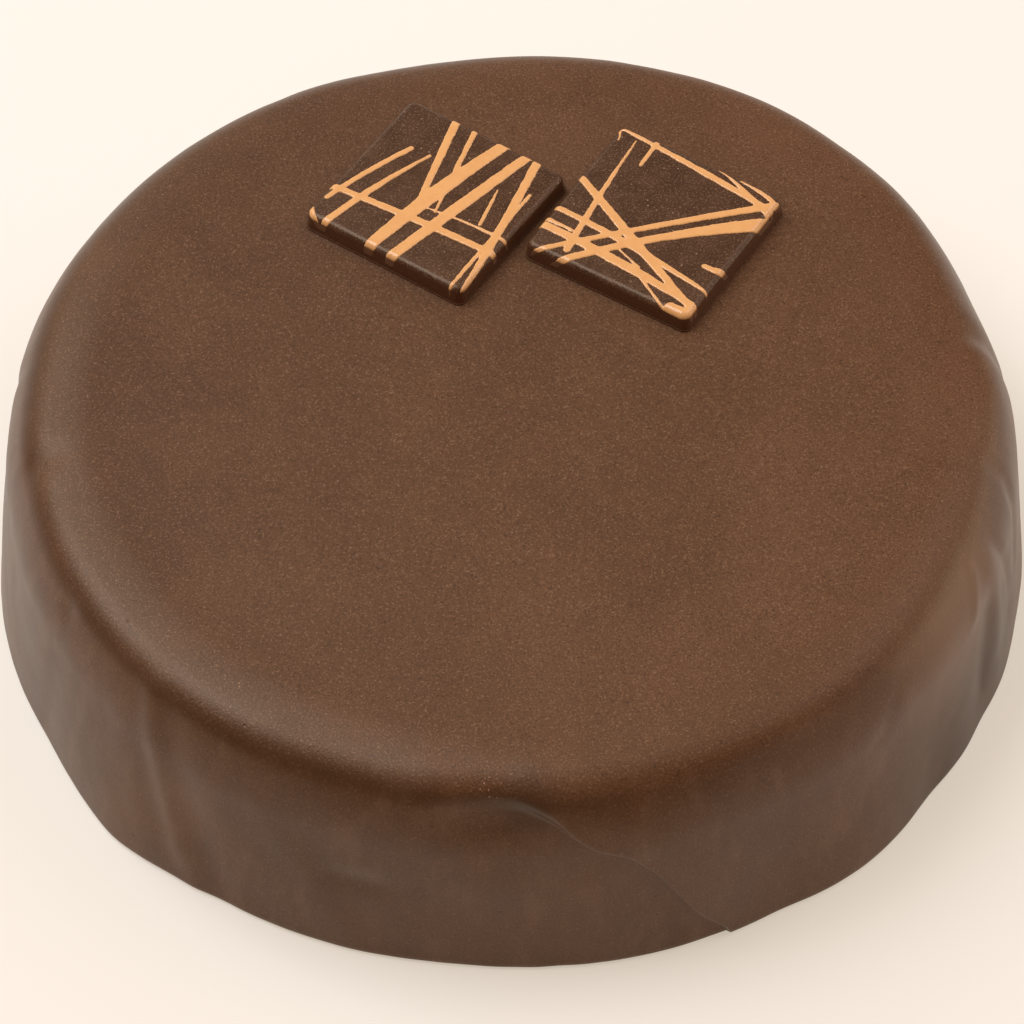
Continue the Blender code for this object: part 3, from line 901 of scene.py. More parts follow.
@dataclass(frozen=True)
class Lap:
    """The coat's last layer beside its lip, which climbs from the foot and dies under the rim."""

    lips: tuple[Lip, ...] = LIPS
    rising: int = 12
    steps: int = 5
    path_radius: float = 92.0
    height: float = 0.95
    fade: float = 26.0
    bulge: float = 0.3
    bulge_back: float = 4.0
    bulge_width: float = 6.0
    hollow: float = 0.45
    hollow_width: float = 7.0
    bead: float = 0.12
    bead_width: float = 2.2
    middle: float = -82.5
    reach: Span = (48.0, 40.0)

    def azimuth(self, run: np.ndarray) -> np.ndarray:
        """Where the steep part of the lip lies at each run."""
        rising = self.lips[: self.rising]
        return smooth_table(run, [lip.run for lip in rising], [lip.azimuth for lip in rising])

    def path(self) -> np.ndarray:
        """Follow the lip in many short steps.

        Returns:
            One row for each step: length along the wall, run, share and half width.
        """
        table = np.array([(p.azimuth, p.run, p.share, p.half_width) for p in self.lips])
        knots = np.arange(len(table), dtype=float)
        places = np.linspace(0.0, knots[-1], (len(table) - 1) * self.steps + 1)
        path = np.stack([smooth_table(places, knots, column) for column in table.T], axis=1)
        path[:, 0] = np.radians(path[:, 0]) * self.path_radius
        return path

    def relief(self, azimuth: np.ndarray, run: np.ndarray) -> np.ndarray:
        """The layer's form: proud at its lip, flowing out behind it, hollow in front.

        Args:
            azimuth: of each point.
            run: of each point.

        Returns:
            How far the surface stands out.
        """
        x = np.radians(turn_between(azimuth, 0.0)) * self.path_radius
        nearest = np.full(x.shape, np.inf)
        behind, share, half = np.zeros(x.shape, bool), np.zeros(x.shape), np.ones(x.shape)
        path = self.path()
        for start, end in zip(path[:-1], path[1:]):
            dx, dy = end[:2] - start[:2]
            t = np.clip(((x - start[0]) * dx + (run - start[1]) * dy) / (dx * dx + dy * dy), 0.0, 1.0)
            away = np.hypot(x - start[0] - t * dx, run - start[1] - t * dy)
            closer = away < nearest
            nearest = np.where(closer, away, nearest)
            behind = np.where(closer, (x - start[0]) * dy - (run - start[1]) * dx > 0.0, behind)
            share = np.where(closer, start[2] + t * (end[2] - start[2]), share)
            half = np.where(closer, start[3] + t * (end[3] - start[3]), half)
        away = np.where(behind, nearest, -nearest)
        step = ease(away, -half, half)
        layer = self.height * ease(away, self.fade, 0.0)
        layer += self.bulge * bell(away - self.bulge_back, self.bulge_width)
        bead = self.bead * bell((away - 2.0 * half) / half, self.bead_width)
        hollow = self.hollow * bell(away, self.hollow_width)
        here = ease(np.abs(turn_between(azimuth, self.middle)), *self.reach)
        return here * share * (step * layer + share * bead - (1.0 - step) * hollow)


FOOT_SWELLS = (
    Swell(-137.5, 12.0, 1.5),
    Swell(-152.0, 6.0, -0.5),
    Swell(-136.5, 4.5, 0.7),
    Swell(-96.0, 10.0, -0.5),
    Swell(-49.5, 9.0, 1.4),
    Swell(-60.0, 4.0, -0.5),
    Swell(-37.0, 4.0, -0.5),
    Swell(-25.0, 3.5, -0.5),
    Swell(-10.0, 5.0, -0.4),
    Swell(24.0, 9.0, 0.5),
    Swell(63.0, 8.0, -0.5),
    Swell(94.0, 12.0, -0.6),
    Swell(131.0, 9.0, 0.8),
    Swell(180.0, 10.0, -0.7),
)
RIM_SWELLS = (
    Swell(-3.0, 9.0, 0.15),
    Swell(18.0, 8.0, -0.6),
    Swell(36.0, 8.0, 0.7),
    Swell(57.0, 18.0, 1.3),
    Swell(100.0, 12.0, -0.9),
    Swell(177.0, 11.0, -0.6),
    Swell(-168.0, 7.0, -0.6),
    Swell(-111.0, 8.0, -0.5),
    Swell(-90.0, 8.0, -0.7),
)
RIM_SOFTENINGS = (
    Swell(-140.0, 38.0, -0.5),
    Swell(-93.0, 12.0, -0.35),
    Swell(-68.0, 12.0, -0.25),
    Swell(-172.0, 11.0, -0.45),
)
PLEATS = (
    Pleat(-126.3, 2.0, -134.6, 40.0, 2.6, 0.46),
    Pleat(-130.8, 2.0, -139.6, 38.0, 4.5, 0.20),
    Pleat(-122.6, 2.0, -130.2, 37.0, 3.2, -0.26),
    Pleat(-108.0, 3.0, -117.0, 28.0, 4.4, 0.18),
    Pleat(-103.5, 3.0, -112.0, 26.0, 4.2, -0.14),
    Pleat(-84.5, 0.0, -85.5, 27.0, 2.8, -0.24),
    Pleat(-152.0, 4.0, -150.0, 36.0, 3.2, -0.14),
    Pleat(-45.5, 28.0, -40.0, 38.0, 2.6, -0.14),
    Pleat(-24.5, 9.0, -22.0, 29.0, 2.8, -0.55),
    Pleat(-26.0, 30.0, -22.0, 39.0, 1.8, 0.32),
    Pleat(-20.0, 12.0, -19.5, 37.0, 2.6, 0.36),
    Pleat(-14.2, 19.0, -17.0, 35.0, 1.7, -0.42),
    Pleat(-10.4, 18.0, -8.4, 37.0, 2.0, -0.45),
    Pleat(4.0, 4.0, 9.0, 36.0, 2.4, -0.50),
    Pleat(29.0, 0.0, 24.0, 30.0, 2.8, 0.50),
    Pleat(58.0, 3.0, 66.0, 34.0, 2.6, -0.45),
    Pleat(88.0, 0.0, 83.0, 26.0, 3.0, 0.45),
    Pleat(113.0, 6.0, 119.0, 37.0, 2.4, -0.45),
    Pleat(146.0, 2.0, 139.0, 31.0, 2.8, 0.50),
    Pleat(168.0, 3.0, 172.0, 35.0, 2.4, -0.40),
)
DENTS = (
    Dent(-93.0, 37.0, 9.0, 5.5, -0.80),
    Dent(-90.5, 22.0, 8.0, 6.0, 0.38),
    Dent(-106.5, 19.0, 5.5, 2.6, -0.50),
    Dent(-24.0, 41.0, 27.0, 8.0, -1.20),
    Dent(-171.0, 44.5, 3.2, 4.5, -0.55),
    Dent(-150.5, 38.5, 2.2, 2.4, -0.28),
    Dent(-8.4, 40.8, 2.2, 2.4, -0.32),
    Dent(-15.0, 12.0, 4.0, 6.5, -0.40),
    Dent(3.0, 41.0, 7.0, 6.5, 0.5),
    Dent(11.5, 42.0, 3.2, 6.0, -0.8),
    Dent(73.0, 37.0, 6.0, 4.0, -0.5),
    Dent(127.0, 22.0, 8.0, 6.0, -0.4),
)


@dataclass(frozen=True)
class CoatRelief:
    """All that makes the coat uneven."""

    profile: CoatProfile
    lap: Lap = field(default_factory=Lap)
    ripple_height: float = 0.22
    ripple_length: float = 19.0
    top_ripple_height: float = 0.08
    fine_height: float = 0.05
    top_fine_height: float = 0.015
    fine_length: float = 5.0
    fine_seed: float = 7.3
    foot_reach: float = 34.0
    rim_rise: Span = (6.0, 33.0)
    rim_fade: float = 6.0
    softening_half_width: float = 5.5
    tip_outside: float = 0.25
    tip_inside: float = 0.2
    top_reach: float = 60.0
    foot_level: float = 8.0
    drawn_in: float = 0.03

    def along(self, run: np.ndarray, angle: np.ndarray) -> np.ndarray:
        """Millimetres along the surface for an angle at a run."""
        return np.radians(angle) * self.profile.at(np.maximum(run, 0.0))[0]

    def swells(self, azimuth: np.ndarray, run: np.ndarray) -> np.ndarray:
        """The wide unevenness of foot and rim, and where the rim is rounder.

        Args:
            azimuth: of each point.
            run: of each point.

        Returns:
            How far the surface stands out.
        """
        profile = self.profile
        foot = ease(run, self.foot_reach, 0.0)
        rim = ease(run, *self.rim_rise)
        rim *= ease(run, profile.rim_end + self.rim_fade, profile.rim_end - self.rim_fade)
        middle = 0.5 * (profile.shoulder_end + profile.rim_end)
        soft = -bell(run - middle, self.softening_half_width)
        total = np.zeros_like(run)
        for swells, weight in ((FOOT_SWELLS, foot), (RIM_SWELLS, rim), (RIM_SOFTENINGS, soft)):
            for swell in swells:
                away = turn_between(azimuth, swell.azimuth)
                total += weight * swell.amount * bell(away, swell.half_width)
        return total

    def pleats(self, azimuth: np.ndarray, run: np.ndarray) -> np.ndarray:
        """The ridges and creases of the wall.

        Args:
            azimuth: of each point.
            run: of each point.

        Returns:
            How far the surface stands out.
        """
        total = np.zeros_like(run)
        for pleat in PLEATS:
            share = (run - pleat.run_low) / (pleat.run_high - pleat.run_low)
            centre = pleat.azimuth_low + share * (pleat.azimuth_high - pleat.azimuth_low)
            away = self.along(run, turn_between(azimuth, centre))
            fade = ease(share, -self.tip_outside, self.tip_inside)
            fade *= ease(share, 1.0 + self.tip_outside, 1.0 - self.tip_inside)
            total += pleat.height * fade * bell(away, pleat.half_width)
        return total

    def dents(self, azimuth: np.ndarray, run: np.ndarray) -> np.ndarray:
        """The round hollows and pillows.

        Args:
            azimuth: of each point.
            run: of each point.

        Returns:
            How far the surface stands out.
        """
        total = np.zeros_like(run)
        for dent in DENTS:
            away = self.along(run, turn_between(azimuth, dent.azimuth))
            total += dent.amount * bell(away, dent.half_width) * bell(run - dent.run, dent.half_height)
        return total

    def ripples(self, places: np.ndarray, run: np.ndarray) -> np.ndarray:
        """Fine unevenness that nearly dies away on the top.

        Args:
            places: one row of x, y, z for each point.
            run: of each point.

        Returns:
            How far the surface stands out.
        """
        level = ease(run, self.profile.shoulder_end, self.profile.rim_end)
        height = self.ripple_height + (self.top_ripple_height - self.ripple_height) * level
        fine = self.fine_height + (self.top_fine_height - self.fine_height) * level
        ripples = height * cloud(places, self.ripple_length)
        return ripples + fine * cloud(places, self.fine_length, self.fine_seed)

    def apply(self, azimuth: np.ndarray, run: np.ndarray) -> np.ndarray:
        """The finished surface.

        Args:
            azimuth: of each point.
            run: of each point.

        Returns:
            One row of x, y, z for each point.
        """
        profile = self.profile
        radius, height, tilt = profile.at(run)
        angle = np.radians(azimuth)
        outward = np.stack([np.cos(angle), np.sin(angle), np.zeros_like(angle)], axis=1)
        places = outward * radius[:, None]
        places[:, 2] = height
        relief = self.ripples(places, run) + self.swells(azimuth, run) - self.drawn_in
        local = self.pleats(azimuth, run) + self.dents(azimuth, run) + self.lap.relief(azimuth, run)
        relief += local * ease(run, profile.brow_end, profile.rim_end)
        relief *= ease(run, profile.brow_end + self.top_reach, profile.brow_end)
        places += outward * (relief * np.sin(tilt))[:, None]
        places[:, 2] += relief * np.cos(tilt) * ease(run, 0.0, self.foot_level)
        return places


@dataclass
class CoatedCake:
    """The cake under its poured coat, replacing the cake's solid."""

    profile: CoatProfile = field(default_factory=CoatProfile)
    finish: CoatFinish = field(default_factory=CoatFinish)
    columns: int = 720
    foot_rings: int = 3
    wall_rings: int = 42
    shoulder_rings: int = 18
    rim_rings: int = 22
    brow_rings: int = 13
    top_rings: int = 36
    top_crowding: float = 0.55
    home: float = -77.5
    pull: float = 0.82
    pull_width: float = 6.0
    bend_width: float = 38.0
    bend_fade: float = 4.0
    batches: int = 20

    def rings(self) -> np.ndarray:
        """Space the turned mesh's rings.

        Returns:
            Their runs, from the wall's foot to the middle of the top.
        """
        profile = self.profile
        zones = (
            (profile.foot_round, profile.wall_end, self.wall_rings),
            (profile.wall_end, profile.shoulder_end, self.shoulder_rings),
            (profile.shoulder_end, profile.rim_end, self.rim_rings),
            (profile.rim_end, profile.brow_end, self.brow_rings),
        )
        bands = [np.linspace(low, high, rings, endpoint=False) for low, high, rings in zones]
        share = np.linspace(0.0, 1.0, self.top_rings)
        crowded = share + self.top_crowding * (share ** 2 - share)
        top = profile.brow_end + profile.flat_radius * crowded
        return np.concatenate([*bands, top])

    def outline(self) -> np.ndarray:
        """Make the half outline, from under the middle to the middle of the top.

        Returns:
            One row of radius and height for each of its points.
        """
        radius, height, _ = self.profile.at(self.rings())
        radius[-1] = 0.0
        turns = np.linspace(0.5 * math.pi, 0.0, self.foot_rings, endpoint=False)
        foot = self.profile.foot_round
        foot_radius = radius[0] - foot * (1.0 - np.cos(turns))
        foot_height = height[0] * (1.0 - np.sin(turns))
        radii = np.concatenate([[0.0], foot_radius, radius])
        heights = np.concatenate([[0.0], foot_height, height])
        return np.stack([radii, heights], axis=1)

    def turn(self) -> bpy.types.Object:
        """Draw the outline point by point and spin it round the cake's axis.

        Returns:
            The turned cake.
        """
        outline = self.outline()
        only(None)
        bpy.ops.mesh.primitive_plane_add(size=MM, location=(0.0, 0.0, 0.0))
        cake = bpy.context.object
        bpy.ops.object.mode_set(mode="EDIT")
        bpy.ops.mesh.select_mode(type="VERT")
        bpy.ops.mesh.select_all(action="SELECT")
        bpy.ops.mesh.merge(type="CENTER")
        for start, end in zip(outline[:-1], outline[1:]):
            step = ((end[0] - start[0]) * MM, 0.0, (end[1] - start[1]) * MM)
            bpy.ops.mesh.extrude_vertices_move(TRANSFORM_OT_translate={"value": step})
        bpy.ops.mesh.select_all(action="SELECT")
        bpy.ops.mesh.spin(
            steps=self.columns, angle=FULL_TURN, center=(0.0, 0.0, 0.0), axis=(0.0, 0.0, 1.0)
        )
        mend_mesh()
        bpy.ops.object.mode_set(mode="OBJECT")
        return cake

    def bent(self, azimuth: np.ndarray, run: np.ndarray, lap: Lap) -> np.ndarray:
        """Bend the mesh columns near the lap along its lip, and draw them close to it.

        Args:
            azimuth: of each point as spun.
            run: of each point.
            lap: the lap that the columns follow.

        Returns:
            The azimuths after bending.
        """
        away = turn_between(azimuth, self.home)
        drawn = -away * self.pull * bell(away, self.pull_width)
        ending = ease(run, self.profile.brow_end, self.profile.rim_end - self.bend_fade)
        bend = (lap.azimuth(run) - self.home) * bell(away, self.bend_width)
        return self.home + away + (drawn + bend) * ending

    def sculpt(self, cake: bpy.types.Object) -> None:
        """Move the turned mesh's points to the coat's finished surface.

        Args:
            cake: the turned cake.
        """
        places = coordinates(cake)
        radius = np.hypot(places[:, 0], places[:, 1])
        azimuth = np.degrees(np.arctan2(places[:, 1], places[:, 0]))
        rings = self.rings()
        ring_radius, ring_height, _ = self.profile.at(rings)
        run = np.empty(len(places))
        for part in np.array_split(np.arange(len(places)), self.batches):
            miss = np.abs(radius[part, None] - ring_radius) + np.abs(places[part, 2, None] - ring_height)
            run[part] = rings[np.argmin(miss, axis=1)]
        relief = CoatRelief(self.profile)
        below = places[:, 2] < ring_height[0] - SAME_PLACE
        run[below] = self.profile.foot_round
        surface = relief.apply(self.bent(azimuth, run, relief.lap), run)
        edge = np.hypot(surface[:, 0], surface[:, 1])
        share = (edge - ring_radius[0] + radius) / np.maximum(edge, 1.0)
        under = surface * np.stack([share, share, np.zeros_like(share)], axis=1)
        under[:, 2] = places[:, 2]
        surface[below] = under[below]
        middle = radius < SAME_PLACE
        surface[middle] = places[middle]
        place_coordinates(cake, surface)

    def build(self) -> None:
        """Make the cake and dress it."""
        cake = self.turn()
        self.sculpt(cake)
        only(cake)
        bpy.ops.object.shade_smooth()
        cake.data.materials.append(self.finish.material())
        finished(cake, "coated_cake", ["cake"])


# ---------------------------------------------------------------- the chocolate squares


@dataclass(frozen=True)
class Stroke:
    """A flick of drizzle in a square's own millimetres: u to its right, v to its back."""

    start: tuple[float, float]
    end: tuple[float, float]
    bow: float
    widths: tuple[float, float, float]


LEFT_STROKES = (
    Stroke((4.5, 19.5), (-3.2, -19.5), -0.8, (2.1, 3.2, 2.2)),
    Stroke((9.4, 19.5), (1.4, -19.5), 0.0, (1.9, 2.4, 2.1)),
    Stroke((-7.7, 19.5), (-1.6, -3.0), 0.0, (1.7, 1.5, 1.1)),
    Stroke((-3.4, 19.5), (2.4, -3.8), 0.0, (1.2, 0.9, 0.4)),
    Stroke((10.6, 19.5), (18.0, -19.5), 0.35, (1.7, 1.6, 1.2)),
    Stroke((14.6, 9.3), (15.0, -19.5), 0.0, (0.7, 0.8, 0.6)),
    Stroke((-19.5, -9.4), (19.5, -6.2), 0.4, (1.3, 1.6, 1.4)),
    Stroke((0.9, -3.8), (19.5, -2.5), 0.5, (0.4, 0.6, 0.9)),
    Stroke((-10.2, 6.6), (-16.2, -11.9), -0.4, (1.1, 1.1, 1.0)),
    Stroke((-6.3, 7.0), (-13.4, -19.5), -0.7, (0.6, 1.3, 1.5)),
    Stroke((-18.5, -14.6), (-13.6, -19.2), 0.0, (1.2, 1.3, 1.5)),
    Stroke((9.0, 7.0), (11.0, -1.7), 0.0, (0.4, 0.7, 0.6)),
)
RIGHT_STROKES = (
    Stroke((-17.2, 16.4), (19.5, 13.0), 0.3, (0.7, 1.4, 1.2)),
    Stroke((-17.0, 15.6), (-16.0, 13.5), 0.2, (0.5, 0.4, 0.3)),
    Stroke((3.4, 17.4), (19.0, 11.2), 0.3, (0.4, 0.9, 1.2)),
    Stroke((8.6, 16.9), (18.5, 14.6), 0.4, (0.5, 0.9, 0.7)),
    Stroke((-9.6, 19.5), (-9.2, 10.3), 0.0, (1.2, 0.9, 0.6)),
    Stroke((-13.0, 14.9), (-9.9, -14.6), -0.25, (0.3, 1.0, 1.3)),
    Stroke((-19.5, 3.2), (19.5, -16.2), 0.0, (1.4, 1.9, 1.2)),
    Stroke((-19.5, -6.7), (19.5, -10.4), 0.9, (1.1, 1.6, 0.6)),
    Stroke((-19.5, -11.6), (19.5, -14.4), 0.8, (1.6, 2.1, 1.2)),
    Stroke((-19.5, -10.0), (-11.6, -10.1), 0.0, (1.0, 0.9, 0.6)),
    Stroke((-16.4, -19.5), (19.5, 17.2), 0.5, (1.1, 1.3, 1.7)),
    Stroke((-11.2, -19.5), (19.5, 11.2), 1.5, (1.5, 1.7, 3.4)),
    Stroke((13.6, -4.7), (19.5, -3.2), -0.5, (1.0, 1.5, 1.3)),
    Stroke((5.5, -13.5), (12.4, -17.4), 0.0, (0.6, 0.45, 0.6)),
    Stroke((13.4, -16.6), (19.0, -16.6), 0.0, (2.4, 2.6, 2.4)),
    Stroke((-2.4, -9.3), (3.4, -11.3), 0.0, (0.4, 0.4, 0.6)),
)


@dataclass
class ChocolateSquare:
    """A moulded chocolate square and the drizzle on it, replacing the square's solid."""

    node: str
    x: float
    y: float
    turn: float
    strokes: Sequence[Stroke]
    face: float = 34.4
    base: float = 35.2
    top: float = 47.65
    bottom: float = 43.7
    corner: float = 1.6
    edge: float = 1.1
    flange: float = 0.12
    flange_height: float = 0.5
    relief: float = 0.16
    contact: float = 0.30
    fillet: float = 0.35
    wobbles: tuple[tuple[float, float, float], ...] = ((0.102, 1.7, 0.0), (0.0765, 0.5, 3.1))
    wobble_reach: float = 1.5
    sheet: float = 39.0
    spacing: float = 0.13
    thickness: float = 0.12
    dive: float = 0.9
    dive_width: float = 0.3
    trim: float = 0.22
    skirt: float = 1.4
    steps: int = 6
    far: float = 9.0

    def settle(self, thing: bpy.types.Object) -> None:
        """Turn and move a piece from the square's own frame to its place on the cake."""
        place = Matrix.Translation((self.x * MM, self.y * MM, 0.0))
        thing.data.transform(place @ Matrix.Rotation(math.radians(self.turn), 4, "Z"))

    def build_body(self) -> bpy.types.Object:
        """Model the moulded piece: draft, a small flange at its foot, rounded corners and edges.

        Returns:
            The piece in its place.
        """
        only(None)
        low = self.bottom + self.flange_height
        middle = 0.5 * (low + self.top)
        bpy.ops.mesh.primitive_cube_add(size=MM, location=(0.0, 0.0, middle * MM))
        body = bpy.context.object
        body.scale = (self.base, self.base, self.top - low)
        bpy.ops.object.transform_apply(location=True, rotation=True, scale=True)
        upper, lower = self.top - SAME_PLACE, low + SAME_PLACE
        self.shape(body, lambda a, b: min(a.z, b.z) > upper, self.taper)
        self.shape(body, lambda a, b: abs(a.z - b.z) > 1.0, lambda: self.round_off(self.corner, 8))
        self.shape(body, lambda a, b: min(a.z, b.z) > upper, lambda: self.round_off(self.edge, 6))
        self.shape(body, lambda a, b: max(a.z, b.z) < lower, self.push_flange)
        only(body)
        bpy.ops.object.mode_set(mode="EDIT")
        mend_mesh()
        bpy.ops.object.mode_set(mode="OBJECT")
        bpy.ops.object.shade_smooth_by_angle(angle=math.radians(SMOOTH_ANGLE))
        self.settle(body)
        return body

    @staticmethod
    def shape(
        thing: bpy.types.Object, test: Callable[[Vector, Vector], bool], work: Callable[[], None]
    ) -> None:
        """Select edges by a test and work on them in edit mode.

        Args:
            thing: the mesh object.
            test: whether an edge with these two ends is wanted.
            work: what to do with the selection.
        """
        only(thing)
        bpy.ops.object.mode_set(mode="EDIT")
        bpy.ops.mesh.select_mode(type="EDGE")
        bpy.ops.object.mode_set(mode="OBJECT")
        select_edges(thing, test)
        bpy.ops.object.mode_set(mode="EDIT")
        work()
        bpy.ops.object.mode_set(mode="OBJECT")

    def taper(self) -> None:
        """Draw the upper face in, as the mould's draft does."""
        share = self.face / self.base
        centre = (0.0, 0.0, self.top * MM)
        bpy.ops.transform.resize(value=(share, share, 1.0), center_override=centre)

    @staticmethod
    def round_off(radius: float, segments: int) -> None:
        """Bevel the selected edges to a round."""
        bpy.ops.mesh.bevel(offset=radius * MM, segments=segments, profile=0.5, affect="EDGES")

    def push_flange(self) -> None:
        """Step the bottom outline out and draw it down to the coat."""
        share = 1.0 + 2.0 * self.flange / self.base
        centre = (0.0, 0.0, (self.bottom + self.flange_height) * MM)
        bpy.ops.mesh.extrude_region_move(TRANSFORM_OT_translate={"value": (0.0, 0.0, 0.0)})
        bpy.ops.transform.resize(value=(share, share, 1.0), center_override=centre)
        drop = (0.0, 0.0, -self.flange_height * MM)
        bpy.ops.mesh.extrude_region_move(TRANSFORM_OT_translate={"value": drop})

    def reach(self, u: np.ndarray, v: np.ndarray, stroke: Stroke) -> np.ndarray:
        """How far places lie outside a stroke, negative inside it.

        Args:
            u: places across the square.
            v: places towards its back.
            stroke: the stroke.

        Returns:
            The distance to its edge.
        """
        start, end = np.array(stroke.start), np.array(stroke.end)
        along = (end - start) / np.linalg.norm(end - start)
        side = np.array([-along[1], along[0]])
        shares = np.linspace(0.0, 1.0, self.steps + 1)
        bows = 4.0 * stroke.bow * shares * (1.0 - shares)
        points = start + shares[:, None] * (end - start) + bows[:, None] * side
        halves = 0.5 * np.interp(shares, (0.0, 0.5, 1.0), stroke.widths)
        nearest = np.full(u.shape, np.inf)
        for i in range(self.steps):
            step = points[i + 1] - points[i]
            du, dv = u - points[i, 0], v - points[i, 1]
            t = np.clip((du * step[0] + dv * step[1]) / (step @ step), 0.0, 1.0)
            away = np.hypot(du - t * step[0], dv - t * step[1])
            nearest = np.minimum(nearest, away - halves[i] - t * (halves[i + 1] - halves[i]))
        return nearest

    def spread(self, u: np.ndarray, v: np.ndarray) -> np.ndarray:
        """Join the strokes, with their crossings filled and their edges uneven.

        Args:
            u: places across the square.
            v: places towards its back.

        Returns:
            How far each place lies outside all drizzle, negative inside it.
        """
        total = np.full(u.shape, self.far)
        for stroke in self.strokes:
            away = self.reach(u, v, stroke)
            overlap = np.clip(0.5 + 0.5 * (away - total) / self.fillet, 0.0, 1.0)
            total = away + (total - away) * overlap - self.fillet * overlap * (1.0 - overlap)
        near = np.abs(total) < self.wobble_reach
        places = np.stack([u[near], v[near], np.full(near.sum(), self.x)], axis=1)
        for amount, length, seed in self.wobbles:
            total[near] += amount * cloud(places, length, seed)
        return total

    def drape(self, u: np.ndarray, v: np.ndarray, lift: np.ndarray) -> np.ndarray:
        """Lay flat places on the square, over its rounded edges and down its sides.

        Args:
            u: places across the square, as if it were flat.
            v: places towards its back.
            lift: how far each stands off the surface.

        Returns:
            One row of x, y, z for each place.
        """
        inner = 0.5 * self.face - self.corner
        near_u, near_v = np.clip(u, -inner, inner), np.clip(v, -inner, inner)
        out_u, out_v = u - near_u, v - near_v
        out = np.hypot(out_u, out_v)
        past = np.maximum(out - (self.corner - self.edge), 0.0)
        angle = np.minimum(past / self.edge, 0.5 * math.pi)
        down = np.maximum(past - self.edge * 0.5 * math.pi, 0.0)
        slope = 0.5 * (self.base - self.face) / (self.top - self.bottom)
        flat = np.minimum(out, self.corner - self.edge)
        reach = flat + (self.edge + lift) * np.sin(angle) + slope * down
        safe = np.maximum(out, 1e-9)
        height = self.top - self.edge + (self.edge + lift) * np.cos(angle) - down
        return np.stack([near_u + out_u / safe * reach, near_v + out_v / safe * reach, height], axis=1)

    def build_drizzle(self) -> bpy.types.Object:
        """Lay a fine sheet over the square, raise it where drizzle lies and cut the rest away.

        Returns:
            The drizzle in its place.
        """
        only(None)
        lines = int(round(self.sheet / self.spacing)) + 1
        bpy.ops.mesh.primitive_grid_add(x_subdivisions=lines, y_subdivisions=lines, size=self.sheet * MM)
        sheet = bpy.context.object
        flat = coordinates(sheet)
        u, v = flat[:, 0], flat[:, 1]
        away = self.spread(u, v)
        inside = np.clip(-away / self.contact, 0.0, 1.0)
        lift = self.relief * np.sqrt(1.0 - (1.0 - inside) ** 2)
        lift -= self.dive * np.clip(away, 0.0, self.dive_width)
        draped = self.drape(u, v, lift)
        place_coordinates(sheet, draped)
        only(sheet)
        bpy.ops.object.mode_set(mode="EDIT")
        bpy.ops.mesh.select_mode(type="VERT")
        bpy.ops.object.mode_set(mode="OBJECT")
        select_points(sheet, (away > self.trim) | (draped[:, 2] < self.bottom + self.skirt))
        bpy.ops.object.mode_set(mode="EDIT")
        bpy.ops.mesh.delete(type="VERT")
        mend_mesh()
        bpy.ops.object.mode_set(mode="OBJECT")
        shell = sheet.modifiers.new("thickness", "SOLIDIFY")
        shell.thickness = self.thickness * MM
        shell.offset = -1.0
        bpy.ops.object.modifier_apply(modifier=shell.name)
        bpy.ops.object.shade_smooth()
        self.settle(sheet)
        return sheet

    def build(self, dark: bpy.types.Material, orange: bpy.types.Material) -> None:
        """Make the square and its drizzle and dress both.

        Args:
            dark: the square's material.
            orange: the drizzle's material.
        """
        side = self.node.rsplit("_", 1)[1]
        body = self.build_body()
        body.data.materials.append(dark)
        finished(body, f"moulded_square_{side}", [self.node])
        drizzle = self.build_drizzle()
        drizzle.data.materials.append(orange)
        finished(drizzle, f"drizzle_{side}", [])


# ---------------------------------------------------------------- the studio


@dataclass(frozen=True)
class Softbox:
    """A soft rectangular light that looks at the cake. Its lengths are in metres."""

    name: str
    azimuth: float
    elevation: float
    size: tuple[float, float]
    power: float
    distance: float = 1.6
    colour: Colour = (1.0, 1.0, 1.0)

    def build(self) -> None:
        """Hang the light and aim it at the cake."""
        data = bpy.data.lights.new(self.name, "AREA")
        data.shape = "RECTANGLE"
        data.size, data.size_y = self.size
        data.energy = self.power
        data.color = self.colour
        lamp = bpy.data.objects.new(self.name, data)
        bpy.context.scene.collection.objects.link(lamp)
        turn, rise = math.radians(self.azimuth), math.radians(self.elevation)
        level = math.cos(rise)
        towards = Vector((level * math.cos(turn), level * math.sin(turn), math.sin(rise)))
        lamp.location = towards * self.distance
        lamp.rotation_euler = towards.to_track_quat("Z", "Y").to_euler()


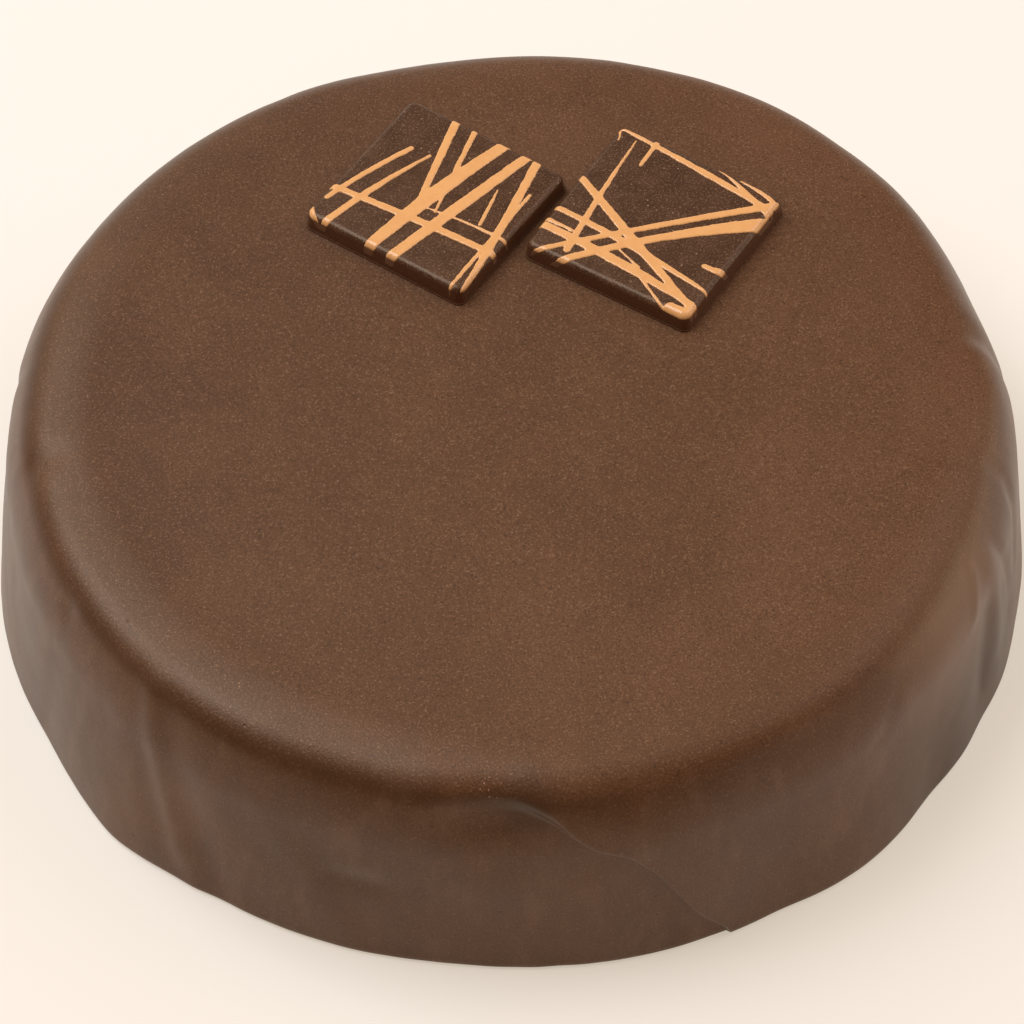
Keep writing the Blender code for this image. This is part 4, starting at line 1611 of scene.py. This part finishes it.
@dataclass
class Studio:
    """Floor, light and camera. Its lengths are in metres."""

    camera_place: Point = (0.00034, -0.69258, 0.87510)
    camera_down: float = 51.303
    lens: float = 210.94
    floor_size: float = 12.0
    floor_drop: float = 0.0001
    floor_colour: Colour = (0.45, 0.45, 0.45)
    floor_glow: Colour = (0.478, 0.427, 0.357)
    surroundings: Colour = (0.290, 0.187, 0.113)
    softboxes: tuple[Softbox, ...] = (
        Softbox("key", 161.0, 61.0, (1.0, 1.0), 16.9, 1.5, (0.94, 0.96, 1.0)),
        Softbox("left_high", 134.0, 41.0, (0.5, 0.5), 3.0, 1.6, (1.0, 0.93, 0.86)),
        Softbox("right_high", 20.0, 50.0, (1.0, 1.0), 5.7, 1.5, (1.0, 0.90, 0.93)),
        Softbox("right_low", 13.0, 9.5, (1.3, 0.5), 4.55, 1.6, (1.0, 0.86, 0.68)),
        Softbox("left_back", 130.0, 20.0, (1.0, 0.7), 2.05, 1.6, (1.0, 0.85, 0.61)),
        Softbox("left_low", 168.0, 9.5, (1.2, 0.5), 0.8, 1.6, (1.0, 0.55, 0.35)),
        Softbox("right_front", 330.0, 14.0, (0.9, 0.5), 1.2, 1.6, (0.83, 0.88, 1.0)),
        Softbox("overhead", 90.0, 78.0, (0.9, 0.9), 1.6, 1.5, (1.0, 0.74, 0.40)),
        Softbox("back", 90.0, 25.0, (1.2, 0.7), 1.25, 1.6, (0.87, 0.94, 1.0)),
    )

    def build_floor(self) -> None:
        """Lay a plain pale floor that glows softly, so that its shadows stay faint."""
        only(None)
        place = (0.0, 0.0, -self.floor_drop)
        bpy.ops.mesh.primitive_plane_add(size=self.floor_size, location=place)
        floor = bpy.context.object
        floor.name = "floor"
        recipe = Recipe("floor")
        recipe.set(
            Base_Color=self.floor_colour,
            Roughness=1.0,
            Specular_IOR_Level=0.0,
            Emission_Color=self.floor_glow,
            Emission_Strength=1.0,
        )
        floor.data.materials.append(recipe.material)

    def build_camera(self) -> None:
        """Set the camera where the cake was seen from: high in front, through a long lens."""
        data = bpy.data.cameras.new("camera")
        data.lens = self.lens
        data.clip_start = 0.01
        camera = bpy.data.objects.new("camera", data)
        camera.location = self.camera_place
        camera.rotation_euler = (math.radians(90.0 - self.camera_down), 0.0, 0.0)
        bpy.context.scene.collection.objects.link(camera)
        bpy.context.scene.camera = camera

    def build(self) -> None:
        """Make the studio."""
        self.build_floor()
        for softbox in self.softboxes:
            softbox.build()
        world = bpy.data.worlds.new("surroundings")
        world.use_nodes = True
        world.node_tree.nodes["Background"].inputs["Color"].default_value = (*self.surroundings, 1.0)
        bpy.context.scene.world = world
        bpy.context.scene.view_settings.view_transform = "Standard"
        self.build_camera()


def main() -> None:
    """Build every piece in order."""
    logging.basicConfig(level=logging.INFO, format="%(name)s: %(message)s")
    Studio().build()
    CoatedCake().build()
    dark = DarkChocolateFinish().material(ChocolateSquare.top)
    orange = DrizzleFinish().material(ChocolateSquare.top)
    squares = (
        ChocolateSquare("chocolate_square_left", x=-13.7, y=45.54, turn=-34.1, strokes=LEFT_STROKES),
        ChocolateSquare("chocolate_square_right", x=26.5, y=38.99, turn=-32.0, strokes=RIGHT_STROKES),
    )
    for square in squares:
        square.build(dark, orange)


if __name__ == "__main__":
    main()
